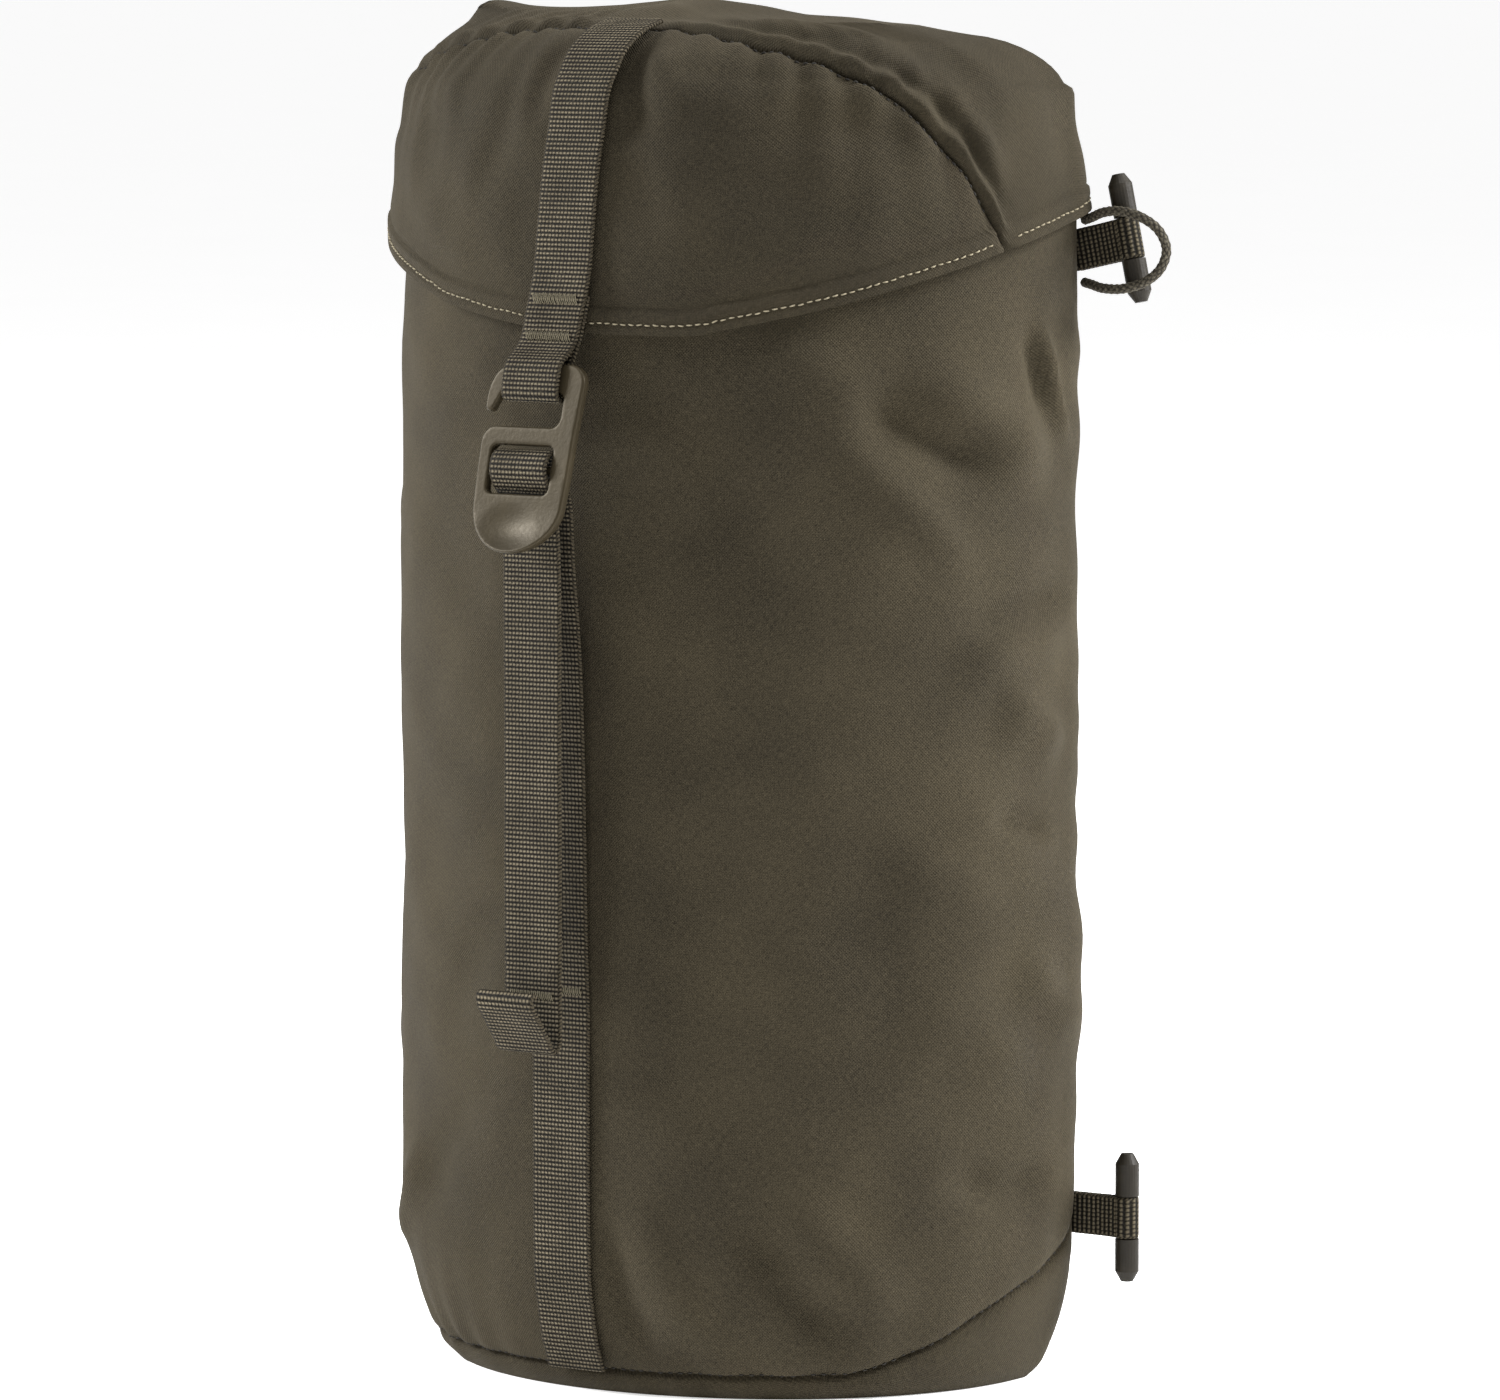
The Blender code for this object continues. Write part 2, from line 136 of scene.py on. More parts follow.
class Finish:
    """A material: one Principled shader, with what is the same all over set on its own sockets."""

    def __init__(self, name, fixed):
        self.material = bpy.data.materials.new(name)
        self.material.use_nodes = True
        self.tree = self.material.node_tree
        self.shader = self.tree.nodes["Principled BSDF"]
        self.wire(self.shader, fixed)

    def wire(self, node, inputs):
        for socket, value in inputs.items():
            if isinstance(value, Tone):
                self.tree.links.new(value.socket, node.inputs[socket])
            else:
                node.inputs[socket].default_value = value

    def add(self, kind, settings, inputs, output=0):
        node = self.tree.nodes.new(kind)
        for setting, value in settings.items():
            setattr(node, setting, value)
        self.wire(node, inputs)
        return Tone(self, node.outputs[output])

    def blend(self, share, first, second):
        """From one colour to the other as the share goes from 0 to 1."""
        return self.add("ShaderNodeMix", {"data_type": "RGBA"}, {0: share, 6: first, 7: second}, 2)

    def cloth_place(self):
        """Where a point is on the flat cloth, in metres."""
        return self.add("ShaderNodeUVMap", {"uv_map": "cloth"}, {})

    def solid_place(self):
        """Where a point is in the object, in metres."""
        return self.add("ShaderNodeTexCoord", {}, {}, 3)

    def split(self, place):
        across = self.add("ShaderNodeSeparateXYZ", {}, {0: place})
        return across, Tone(self, across.socket.node.outputs[1])

    def noise(self, place, scale, detail=2.0):
        """Uneven values about 0.5, in patches 1/scale metres long."""
        return self.add("ShaderNodeTexNoise", {},
                        {"Vector": place, "Scale": scale, "Detail": detail})

    def sine(self, value):
        return self.add("ShaderNodeMath", {"operation": "SINE"}, {0: value})

    def floor(self, value):
        return self.add("ShaderNodeMath", {"operation": "FLOOR"}, {0: value})

    def size(self, value):
        return self.add("ShaderNodeMath", {"operation": "ABSOLUTE"}, {0: value})

    def ramp(self, value, low, high):
        """0 below low and 1 above high."""
        return self.add("ShaderNodeMapRange", {}, {0: value, 1: low, 2: high})

    def relief(self, height, depth):
        bump = self.add("ShaderNodeBump", {}, {"Height": height, "Distance": depth})
        self.wire(self.shader, {"Normal": bump})


paint = Finish("floor_paint", {"Roughness": 0.9, "Specular IOR Level": 0.1,
                              "Emission Color": (1, 1, 1, 1), "Emission Strength": 0.50})
grain = paint.noise(paint.solid_place(), 6.0)
paint.wire(paint.shader, {"Base Color": paint.blend(grain, (0.93, 0.93, 0.93, 1),
                                                    (0.96, 0.96, 0.96, 1))})
floor.data.materials.append(paint.material)


# ---- Cord loops
# A loop of thin braided cord is sewn into each side seam with the upper webbing tab, and goes
# round in front of the toggle. Both its ends are caught in the seam.

CORD_D = 0.0028
CORD_ROUTE = [(0.1034, 0.0542, 0.3375), (0.1070, 0.0526, 0.3384), (0.1125, 0.0499, 0.3400),
              (0.1190, 0.0486, 0.3406), (0.1260, 0.0484, 0.3392), (0.1318, 0.0490, 0.3356),
              (0.1342, 0.0498, 0.3300), (0.1322, 0.0496, 0.3242), (0.1270, 0.0488, 0.3202),
              (0.1200, 0.0484, 0.3183), (0.1125, 0.0500, 0.3182), (0.1070, 0.0526, 0.3190),
              (0.1034, 0.0542, 0.3195)]
BRAID_STEP = 0.0022         # along the cord, from one crossing of the strands to the next
BRAID_STRANDS = 6
BRAID_RELIEF = 0.00010


def smooth_path(points, step):
    """A Catmull-Rom curve through the points, with its points this far apart."""
    given = [np.array(p, float) for p in points]
    ends = [2 * given[0] - given[1]] + given + [2 * given[-1] - given[-2]]
    path = []
    for a, b, c, d in zip(ends, ends[1:], ends[2:], ends[3:]):
        for t in np.linspace(0, 1, 24, endpoint=False):
            path.append(0.5 * (2 * b + (c - a) * t + (2 * a - 5 * b + 4 * c - d) * t**2
                               + (3 * b - a - 3 * c + d) * t**3))
    path = np.array(path + [given[-1]])
    run = run_of(path)
    even = np.linspace(0, run[-1], max(2, int(round(run[-1] / step)) + 1))
    return np.stack([np.interp(even, run, path[:, i]) for i in range(path.shape[1])], axis=-1)


def run_of(path):
    """How far along the path each of its points is."""
    steps = np.linalg.norm(np.diff(path, axis=0), axis=-1)
    return np.concatenate([[0.0], np.cumsum(steps)])


def unit(vectors):
    return vectors / np.maximum(np.linalg.norm(vectors, axis=-1, keepdims=True), 1e-12)


def piece(name, points, faces, cloth, finish, weld=0.0):
    """An object from an array of points and one of four-cornered faces. cloth is each point's
    place on the flat material, in metres."""
    mesh = bpy.data.meshes.new(name)
    mesh.from_pydata(points.reshape(-1, 3).tolist(), [], faces.tolist())
    layer = mesh.uv_layers.new(name="cloth")
    layer.data.foreach_set("uv", cloth.reshape(-1, 2)[faces.ravel()].ravel())
    bm = bmesh.new()
    bm.from_mesh(mesh)
    if weld:
        bmesh.ops.remove_doubles(bm, verts=bm.verts, dist=weld)
    for face in bm.faces:
        face.smooth = True
    bm.to_mesh(mesh)
    bm.free()
    mesh.materials.append(finish.material)
    made = bpy.data.objects.new(name, mesh)
    scene.collection.objects.link(made)
    return made


def rows_to_faces(rows, columns, closed=False):
    """Faces between each row of points and the next. closed joins a row's end to its start."""
    index = np.arange(rows * columns).reshape(rows, columns)
    if closed:
        index = np.concatenate([index, index[:, :1]], axis=1)
    corners = (index[:-1, :-1], index[:-1, 1:], index[1:, 1:], index[1:, :-1])
    return np.stack(corners, axis=-1).reshape(-1, 4)


def tube(name, path, radius, finish, relief, sides=16):
    """A cord along a path. relief gives its strands' height from the run and the angle round it."""
    tangent = unit(np.gradient(path, axis=0))
    across = np.array([0.0, 1.0, 0.0])
    first = []
    for direction in tangent:
        across = across - direction * across.dot(direction)
        across = across / np.linalg.norm(across)
        first.append(across)
    first = np.array(first)
    second = np.cross(tangent, first)
    angle = np.arange(sides) * math.tau / sides
    run = run_of(path)
    run_grid, angle_grid = np.meshgrid(run, angle, indexing="ij")
    reach = radius + relief(run_grid, angle_grid)
    points = (path[:, None] + reach[..., None] * (np.cos(angle)[:, None] * first[:, None]
                                                  + np.sin(angle)[:, None] * second[:, None]))
    cloth = np.stack([angle_grid * radius, run_grid], axis=-1)
    return piece(name, points, rows_to_faces(len(path), sides, closed=True), cloth, finish)


def cap_ends(made):
    """Closes a tube's open ends."""
    bm = bmesh.new()
    bm.from_mesh(made.data)
    bmesh.ops.holes_fill(bm, edges=[e for e in bm.edges if e.is_boundary], sides=0)
    bmesh.ops.recalc_face_normals(bm, faces=bm.faces)
    bm.to_mesh(made.data)
    bm.free()


def braid(run, angle):
    turn = run * math.tau / BRAID_STEP
    lay = BRAID_STRANDS / 2 * angle
    weave = np.sin(lay + turn / 2) * np.sin(lay - turn / 2)
    return BRAID_RELIEF * (2 * np.abs(weave) - 1)


braided = Finish("braided_cord", {"Roughness": 0.8, "Specular IOR Level": 0.25})
place = braided.cloth_place()
around, along = braided.split(place)
lean = BRAID_STRANDS / 2 / (CORD_D / 2)
one_way = braided.sine(around * lean + along * (math.pi / BRAID_STEP))
other_way = braided.sine(around * lean - along * (math.pi / BRAID_STEP))
strands = braided.size(one_way * other_way)
fleck = braided.ramp(braided.noise(place, 900.0), 0.50, 0.72)
# The colour follows the strands' height: near black in the dips between them, which is painted
# shade.
cord_colour = braided.blend(strands, (0.012, 0.010, 0.007, 1), (0.075, 0.064, 0.044, 1))
cord_colour = braided.blend(fleck * 0.5, cord_colour, (0.16, 0.145, 0.105, 1))
braided.wire(braided.shader, {"Base Color": cord_colour})
braided.relief(strands, 0.0002)

for side, sign in (("left", -1), ("right", 1)):
    route = smooth_path([(sign * x, y, z) for x, y, z in CORD_ROUTE], 0.00028)
    loop = tube("cord_loop_of_" + side, route, CORD_D / 2, braided, braid)
    cap_ends(loop)
    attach(loop, "tab_upper_" + side)
    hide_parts("cord_loop_" + side)


# ---- The wrap
# One length of tightly woven waxed canvas goes from one side seam round the front to the other.
# It has no stiffener: it bulges over what is packed and creases on the slant where it is slack.

HALF_WIDTH = 0.105
FRONT_Y = -0.060
WIDEST_Y = 0.036            # the front curves from here on
BACK_Y = 0.060
CORNER_R = 0.018
CORNER_GROWTH = 0.3         # corners further in get rounder by this much
SIDE_FLAT = 0.002           # of each side is straight at least
MOUTH_Z = 0.348
SEAM_Y = 0.0547             # the side seams
CANVAS = 0.0007             # the cloth's thickness
YARN = 0.00048              # from one yarn to the next
SLUB = (2600.0, 520.0)      # thick places per metre, across a yarn and along it
BULGE = 0.0017              # how far the filled sack swells on either side of the strap
# How far the wall is drawn in, and at what height.
WALL_PROFILE = [(0.013, 0), (0.0096, 0.0035), (0.0075, 0.0075), (0.0040, 0.017), (0.0018, 0.026),
                (0.0006, 0.035), (0, 0.050), (0, 0.140), (0, 0.240), (0, MOUTH_Z + 0.02)]
# The height of the seam round the base, from front to back.
BASE_SEAM = [(-0.10, 0.0062), (-0.030, 0.0064), (-0.020, 0.0075), (-0.005, 0.014), (0.008, 0.022),
             (0.020, 0.028), (0.030, 0.032), (0.040, 0.0375), (0.048, 0.044), (0.054, 0.049),
             (0.10, 0.049)]


def outline_terms():
    """Stations round the D-shaped plan, from the middle of the back by way of the left side, the
    front and the right side. Each gives x from (half width, corner radius), and y from
    (back, corner radius, widest line, front)."""
    terms = []
    for k in np.linspace(0, 1, 44, endpoint=False):
        terms.append((-k, k, 1, 0, 0, 0))
    for t in np.radians(np.linspace(90, 180, 14, endpoint=False)):
        terms.append((-1, 1 + math.cos(t), 1, math.sin(t) - 1, 0, 0))
    for k in np.linspace(0, 1, 3, endpoint=False):
        terms.append((-1, 0, 1 - k, k - 1, k, 0))
    half = len(terms)
    for t in np.radians(np.linspace(180, 360, 150)):
        terms.append((math.cos(t), 0, 0, 0, 1 + math.sin(t), -math.sin(t)))
    mirrored = [(-a, -r, b, rb, w, f) for a, r, b, rb, w, f in terms[:half]]
    return np.array(terms + mirrored[::-1])


OUTLINE = outline_terms()
STATIONS = len(OUTLINE)
FRONT_MIDDLE = (STATIONS - 1) / 2


def d_shape(inset, ease=0.0, back_ease=0.0, at=None):
    """x and y of the outline moved inwards by inset, at the given stations (all, unless said)."""
    terms = OUTLINE if at is None else OUTLINE[at]
    a = HALF_WIDTH + ease - inset
    back = BACK_Y + back_ease - inset
    r = np.hypot(CORNER_R + ease - inset, CORNER_GROWTH * inset)
    widest = np.minimum(WIDEST_Y, back - r - SIDE_FLAT)
    x = terms[:, 0] * a + terms[:, 1] * r
    y = (terms[:, 2] * back + terms[:, 3] * r + terms[:, 4] * widest
         + terms[:, 5] * (FRONT_Y - ease + inset))
    return x, y


def table_of(profile):
    """A smooth (inset, height) profile as two arrays to look up in."""
    fine = smooth_path(profile, 0.0004)
    return fine[:, 0], fine[:, 1]


wall_inset, wall_height = table_of(WALL_PROFILE)


def wall(z, at=None):
    """Points of the sack's wall at heights z, which has a row for each row of points."""
    x, y = d_shape(np.interp(z, wall_height, wall_inset), at=at)
    return np.stack([x + 0 * z, y + 0 * z, z + 0 * x], axis=-1)


def out_of(points):
    """The way out of a surface given as rows of points, which go round it from left to right."""
    along = np.gradient(points, axis=1)
    upward = np.gradient(points, axis=0)
    return unit(np.cross(along, upward))


ground = d_shape(0.0)
girth = run_of(np.stack(ground, axis=-1))
girth = girth - (girth[int(FRONT_MIDDLE)] + girth[int(FRONT_MIDDLE + 0.5)]) / 2


def base_seam_height(at):
    """The seam between the wall and the base, at each station."""
    seam = smooth_path(BASE_SEAM, 0.001)
    z = np.full(len(at), 0.02)
    for _ in range(12):
        y = d_shape(np.interp(z, wall_height, wall_inset), at=at)[1]
        z = np.interp(y, seam[:, 0], seam[:, 1])
    return z


def rise(value, start, length):
    """0 up to the start, then up to 1 over the length."""
    return np.clip((value - start) / length, 0, 1)


def fold(s, z, line, height, width, lean=1.0):
    """A soft ridge, or a groove if the height is negative, along a line of (girth, height) points
    in millimetres. It fades out at its ends. lean makes its left side wider than its right."""
    line = np.array(line, float) / 1000
    best = np.full(s.shape, 1e9)
    where = np.zeros(s.shape)
    side = np.ones(s.shape)
    total = np.linalg.norm(np.diff(line, axis=0), axis=1).sum()
    before = 0.0
    for a, b in zip(line, line[1:]):
        step = b - a
        length = np.linalg.norm(step)
        t = np.clip(((s - a[0]) * step[0] + (z - a[1]) * step[1]) / length**2, 0, 1)
        off_s = s - a[0] - t * step[0]
        off_z = z - a[1] - t * step[1]
        distance = np.hypot(off_s, off_z)
        nearer = distance < best
        best = np.where(nearer, distance, best)
        where = np.where(nearer, before + t * length, where)
        side = np.where(nearer, np.sign(off_s * abs(step[1]) + off_z * abs(step[0])), side)
        before += length
    fade = np.clip(np.minimum(where, total - where) / (0.35 * total) + 0.02, 0, 1)
    fade = fade * fade * (3 - 2 * fade)
    wide = width / 1000 * np.where(side < 0, lean, 1.0)
    return height / 1000 * fade * hill(best, wide)


def slack(s, z, size, seed):
    """The unevenness of cloth that isn't stretched: seeded waves about this long, in metres."""
    draw = random.Random(seed)
    total = np.zeros(s.shape)
    for _ in range(11):
        turn = draw.uniform(0, math.tau)
        length = size * draw.uniform(0.7, 1.7)
        lag = draw.uniform(0, math.tau)
        total += np.sin((s * math.cos(turn) + z * math.sin(turn)) * math.tau / length + lag)
    return total / 4


def ruck(s, away, step, height, reach, seed):
    """Puckers square to a seam: away is the distance from it. They die out over the reach."""
    draw = random.Random(seed)
    lag = draw.uniform(0, math.tau)
    wander = 2.2 * np.sin(s / 0.031 + lag) + 1.4 * np.sin(s / 0.0173 + 2 * lag)
    swell = 0.6 + 0.4 * np.sin(s / 0.023 + 3 * lag)
    return height * swell * np.sin(s * math.tau / step + wander) * np.exp(-away / reach)


def hill(away, width):
    """1 in the middle, and next to nothing at twice the width from it."""
    return np.exp(-(away / width) ** 2)


def groove(away, depth, width):
    return -depth * hill(away, width)


def seam(away):
    """Where two panels are sewn together: a soft valley with a sharp line down its middle."""
    return groove(away, 0.0010, 0.0028) + groove(away, 0.0020, 0.0007)


def crowded(count):
    """Shares from 0 to 1, closer together near both ends, where the seams are."""
    even = np.linspace(0, 1, count)
    return (even - 0.84 * np.sin(even * math.tau) / math.tau)[:, None]


def canvas(name, dark, light, lift=1.0):
    """Woven canvas: plain weave, slubs in the yarn, and a wax that is unevenly rubbed in."""
    cloth = Finish(name, {"Roughness": 0.82, "Specular IOR Level": 0.12, "Sheen Weight": 0.05,
                          "Sheen Roughness": 0.5, "Sheen Tint": (1.0, 0.86, 0.62, 1)})
    place = cloth.cloth_place()
    u, v = cloth.split(place)
    wax = cloth.noise(place, 26.0, 3.0)
    slubs = []
    for stretch in (SLUB, SLUB[::-1]):
        drawn_out = cloth.add("ShaderNodeVectorMath", {"operation": "MULTIPLY"},
                              {0: place, 1: (*stretch, 1.0)})
        slubs.append(cloth.noise(drawn_out, 1.0, 1.0))
    yarn = slubs[0] * 0.5 + slubs[1] * 0.5
    tone = cloth.ramp(wax * 0.35 + yarn * 0.65, 0.35, 0.65)
    cloth.wire(cloth.shader, {"Base Color": cloth.blend(tone, dark, light)})
    cloth.wire(cloth.shader, {"Roughness": 0.76 + wax * 0.16})
    weave = cloth.sine(u * (math.pi / YARN)) * cloth.sine(v * (math.pi / YARN))
    cloth.relief(weave * 0.6 + yarn * 1.1 * lift, 0.00016)
    return cloth


def lengths_down(rows):
    """How far each point is from the first row, down its own column."""
    steps = np.linalg.norm(np.diff(rows, axis=0), axis=-1)
    return np.concatenate([np.zeros((1, rows.shape[1])), np.cumsum(steps, axis=0)])


def closed_up(stand, columns=16):
    """Makes the last columns of a ring run smoothly into the first."""
    share = np.linspace(0, 1, columns)
    share = share * share * (3 - 2 * share)
    stand[:, -columns:] = stand[:, -columns:] * (1 - share) + stand[:, :1] * share
    return stand


def polar_cloth(from_middle):
    """Where the points of a D-shaped panel are on its cloth, measured out from its middle."""
    bearing = np.arctan2(ground[1] - CROWN_Y, ground[0])
    return np.stack([from_middle * np.cos(bearing), from_middle * np.sin(bearing)], axis=-1)


CROWN_Y = 0.002
body_canvas = canvas("sack_canvas", (0.0165, 0.0131, 0.0073, 1), (0.0475, 0.0386, 0.0230, 1))
# The lining is dark. The same finish on every panel's cut edge is painted shade, the dark line
# under the lid's hem.
lining_and_rim_shade = canvas("lining_side_and_rim_shade", (0.0110, 0.0095, 0.0060, 1), (0.0180, 0.0158, 0.0105, 1))


def panel(name, points, cloth, finish, body, stands_for):
    """A panel of cloth from rows of points, with the lining's side inwards. Its cut edges take the
    lining's dark finish too, as painted shade along them, as under the lid's hem.
    """
    made = piece(name, points, rows_to_faces(*points.shape[:2]), cloth, finish, weld=1e-6)
    made.data.materials.append(lining_and_rim_shade.material)
    thick = made.modifiers.new("cloth", "SOLIDIFY")
    thick.thickness = CANVAS
    thick.offset = -1
    thick.material_offset = 1
    # The cut edges take the lining's finish: painted shade along them.
    thick.material_offset_rim = 1
    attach(made, body)
    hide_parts(*stands_for)
    return made


left_seam = min(i for i in range(STATIONS) if ground[1][i] < SEAM_Y)
right_seam = STATIONS - 1 - left_seam
wrap_at = np.arange(left_seam, right_seam + 1)
foot = base_seam_height(wrap_at)
share = crowded(190)
height = foot + (MOUTH_Z - foot) * share
wrap_rows = wall(height, wrap_at)
outward = out_of(wrap_rows)
s_wrap = girth[wrap_at] + 0 * height
above_seam = height - foot

# Each crease has its line, in millimetres round from the front's middle and up from the ground,
# then how far it stands out, how wide it is, and how much gentler its left side is.
CREASES = 1.35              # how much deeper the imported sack's creases are than those listed
FOLDS = [([(84, 290), (103, 281), (117, 273), (134, 265)], -3.4, 6, 1.0),
         ([(98, 296), (119, 288), (138, 278), (156, 262)], 3.6, 9, 1.2),
         ([(74, 282), (96, 265), (111, 252), (126, 236)], 2.2, 5, 1.4),
         ([(148, 313), (154, 294), (158, 281), (166, 270)], 3.0, 3, 1.3),
         ([(144, 311), (149, 293), (152, 279)], -2.4, 4, 1.0),
         ([(114, 221), (142, 227), (168, 229)], -2.6, 5, 1.0),
         ([(112, 211), (142, 218), (168, 219)], 2.2, 7, 1.3),
         ([(130, 203), (145, 196), (162, 184)], 2.8, 6, 1.6),
         ([(128, 168), (156, 161)], -2.0, 3, 1.0),
         ([(92, 160), (115, 152), (138, 144)], 1.2, 6, 1.5),
         ([(88, 180), (94, 147), (101, 112)], -1.5, 14, 1.0),
         ([(56, 309), (80, 296), (98, 284)], 1.6, 8, 1.2),
         ([(54, 58), (69, 34), (88, 12)], -3.4, 8, 0.8),
         ([(66, 66), (84, 44), (106, 22)], 2.0, 8, 1.3),
         ([(12, 54), (19, 29), (30, 8)], -2.2, 5, 1.0),
         ([(22, 64), (32, 38), (46, 12)], 1.6, 6, 1.2),
         ([(95, 118), (125, 104), (150, 86)], 2.2, 9, 1.3),
         ([(138, 128), (156, 112), (172, 104)], 2.6, 6, 1.4),
         ([(112, 66), (134, 58), (158, 62)], -2.4, 6, 1.0),
         ([(-17, 148), (-39, 123), (-60, 92)], -1.3, 9, 1.0),
         ([(-30, 90), (-52, 70), (-70, 40)], -1.4, 8, 1.0),
         ([(-96, 30), (-80, 48), (-66, 70)], 1.9, 6, 1.0),
         ([(-150, 260), (-128, 250), (-104, 252)], 1.3, 9, 1.4),
         ([(-158, 190), (-130, 200), (-110, 216)], -1.3, 9, 1.0),
         ([(-150, 110), (-126, 96), (-100, 90)], 1.1, 10, 1.0)]
stand = np.zeros(height.shape)
for line, tall, width, lean in FOLDS:
    stand += fold(s_wrap, height, line, CREASES * tall, width, lean)
calm = rise(above_seam, 0, 0.03) * rise(np.abs(s_wrap), 0.012, 0.02)
stand += BULGE * rise(above_seam, 0, 0.03) * rise(np.abs(s_wrap), 0.014, 0.06)
stand += calm * (0.0010 * slack(s_wrap, height, 0.085, 11)
                 + 0.00035 * slack(s_wrap, height, 0.030, 12))
stand += ruck(s_wrap, above_seam, 0.021, 0.0009, 0.013, 13) * rise(above_seam, 0, 0.002)
stand += seam(above_seam)
to_side_seam = np.minimum(s_wrap - s_wrap[:, :1], s_wrap[:, -1:] - s_wrap)
stand += seam(to_side_seam) + ruck(height, to_side_seam, 0.024, 0.0007, 0.009, 14)
stand = np.where(height > 0.30, stand * (1 - 0.75 * rise(height, 0.30, 0.02)), stand)
wrap_points = wrap_rows + outward * stand[..., None]
panel("canvas_wrap", wrap_points, np.stack([s_wrap, height], axis=-1), body_canvas, "sack",
      ["body_panel"])


# ---- The base
# A D-shaped base of the same canvas, turned up round the edge and highest at the back corners,
# sewn to the wrap along a seam that puckers.

BASE_CROWN = 0.0012         # how far the middle of the base is drawn up off the ground
base_at = np.arange(STATIONS)
top_of_base = base_seam_height(base_at)
up_share = crowded(22)
skirt_z = top_of_base * up_share
skirt = wall(skirt_z, base_at)
in_share = np.concatenate([[0.0, 0.12], np.linspace(0.2, 0.985, 24)])[:, None]
sole_x = skirt[0, :, 0] * in_share
sole_y = skirt[0, :, 1] * in_share
sole_z = BASE_CROWN * np.clip(1.15 - in_share, 0, 1) ** 0.5 * (1 - in_share) + 0 * sole_x
sole_z = sole_z + 0.0004 * (1 - in_share) * (1 + slack(sole_x, sole_y, 0.07, 21))
base_rows = np.concatenate([np.stack([sole_x, sole_y, sole_z], axis=-1), skirt])
out_base = out_of(base_rows)
base_run = lengths_down(base_rows)
to_seam = base_run[-1] - base_run
s_base = girth[base_at] + 0 * base_run
base_stand = seam(to_seam) + np.where(
    base_rows[..., 2] > 0.0004, ruck(s_base, to_seam, 0.019, 0.0006, 0.009, 22), 0)
base_points = base_rows + out_base * closed_up(base_stand)[..., None]
base_points[..., 2] = np.maximum(base_points[..., 2], 0.0001)
panel("canvas_base", base_points, polar_cloth(base_run), body_canvas, "sack", ["base_panel"])


# ---- The back
# A flat panel of darker, more open cloth, which lies against the rucksack. It is sewn to the
# wrap down both side seams.

back_canvas = canvas("back_canvas", (0.017, 0.015, 0.010, 1), (0.030, 0.027, 0.019, 1), 1.6)
BACK_TOP_Z = 0.3425
back_at = np.concatenate([np.arange(right_seam, STATIONS), np.arange(0, left_seam + 1)])
back_z = np.linspace(0.049, BACK_TOP_Z, int(0.29 / 0.0030))[:, None] + 0 * ground[0][back_at]
back_rows = wall(back_z, back_at)
out_back = out_of(back_rows)
across_back = run_of(back_rows[0])
s_back = across_back + 0 * back_z
side_seams = np.minimum(s_back, across_back[-1] - s_back)
foot_seam = back_z - back_z[:1]
back_stand = (seam(side_seams) + seam(foot_seam)
              + ruck(back_z, side_seams, 0.022, 0.0006, 0.012, 31)
              + ruck(s_back, foot_seam, 0.020, 0.0006, 0.012, 32)
              - 0.0008 * (1 + slack(s_back, back_z, 0.07, 33)) * rise(side_seams, 0, 0.02))
back_points = back_rows + out_back * back_stand[..., None]
back = panel("canvas_back", back_points, np.stack([s_back, back_z], axis=-1), back_canvas, "sack",
             ["back_panel"])


# ---- The mouth
# The top of the wall is a folded channel of thin lining, gathered a little. Two eyelets at the
# front let a drawcord out of it.

thin_lining = canvas("mouth_lining", (0.030, 0.026, 0.018, 1), (0.050, 0.044, 0.031, 1), 0.8)
CHANNEL = [(0.0021, 0.3385), (0.0021, 0.3480), (0.0016, 0.3550), (0.0021, 0.3592), (0.0033, 0.3606),
           (0.0047, 0.3590), (0.0050, 0.3520), (0.0046, 0.3440), (0.0046, 0.3400)]
GATHER_STEP = 0.0105        # from one gather of the channel to the next
channel_line = smooth_path(CHANNEL, 0.0011)
mouth_at = np.arange(STATIONS)
channel_rows = []
for inset, z in channel_line:
    x, y = d_shape(inset, at=mouth_at)
    channel_rows.append(np.stack([x, y, np.full(len(x), z)], axis=-1))
channel_rows = np.array(channel_rows)
channel_z = channel_line[:, 1][:, None] + 0 * girth
s_mouth = girth + 0 * channel_z
loose = rise(channel_z, 0.345, 0.012) * rise(np.abs(s_mouth), 0.013, 0.012)
gathers = np.sin(s_mouth * math.tau / GATHER_STEP + 1.7 * np.sin(s_mouth / 0.023))
gather = closed_up(loose * (0.0008 * gathers - 0.0008
                            + 0.0005 * slack(s_mouth, channel_z, 0.03, 41)))
plan_out = unit(np.stack([*ground, 0 * ground[0]], axis=-1) * np.array([1, 1.2, 0]))
channel_points = channel_rows + plan_out * gather[..., None]
channel_points[..., 2] += closed_up(loose * 0.0007 * slack(s_mouth, channel_z * 0, 0.035, 42))
channel_cloth = np.stack([s_mouth, run_of(channel_line)[:, None] + 0 * s_mouth], axis=-1)
channel = piece("mouth_gathers", channel_points, rows_to_faces(*channel_points.shape[:2]),
                channel_cloth, thin_lining, weld=1e-6)
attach(channel, "sack")
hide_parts("mouth_channel")

# ---- The lid
# A cap of the same canvas in two panels, joined by a puckered seam that runs over the crown just
# behind the front edge. Its hem is turned up and topstitched, and its back is sewn to the sack.

CAP_EASE = 0.004            # the lid is this much larger than the sack at its sides and front
CAP_BACK_EASE = 0.0021      # and this much at its back
CAP_BACK_RISE = 0.006       # its back stays upright until it is drawn in this far
CAP_SLOPE = 0.040           # the top falls this much per metre towards the back
CROWN_RISE = 0.0060         # and domes up this far in its middle
LID_LANE = 0.006            # the strap was sewn over the lid this far to the right
HEM_BAND = 0.0075           # the depth of the turned-up hem
HEM_STITCH = 0.0030         # the stitches' height above the edge
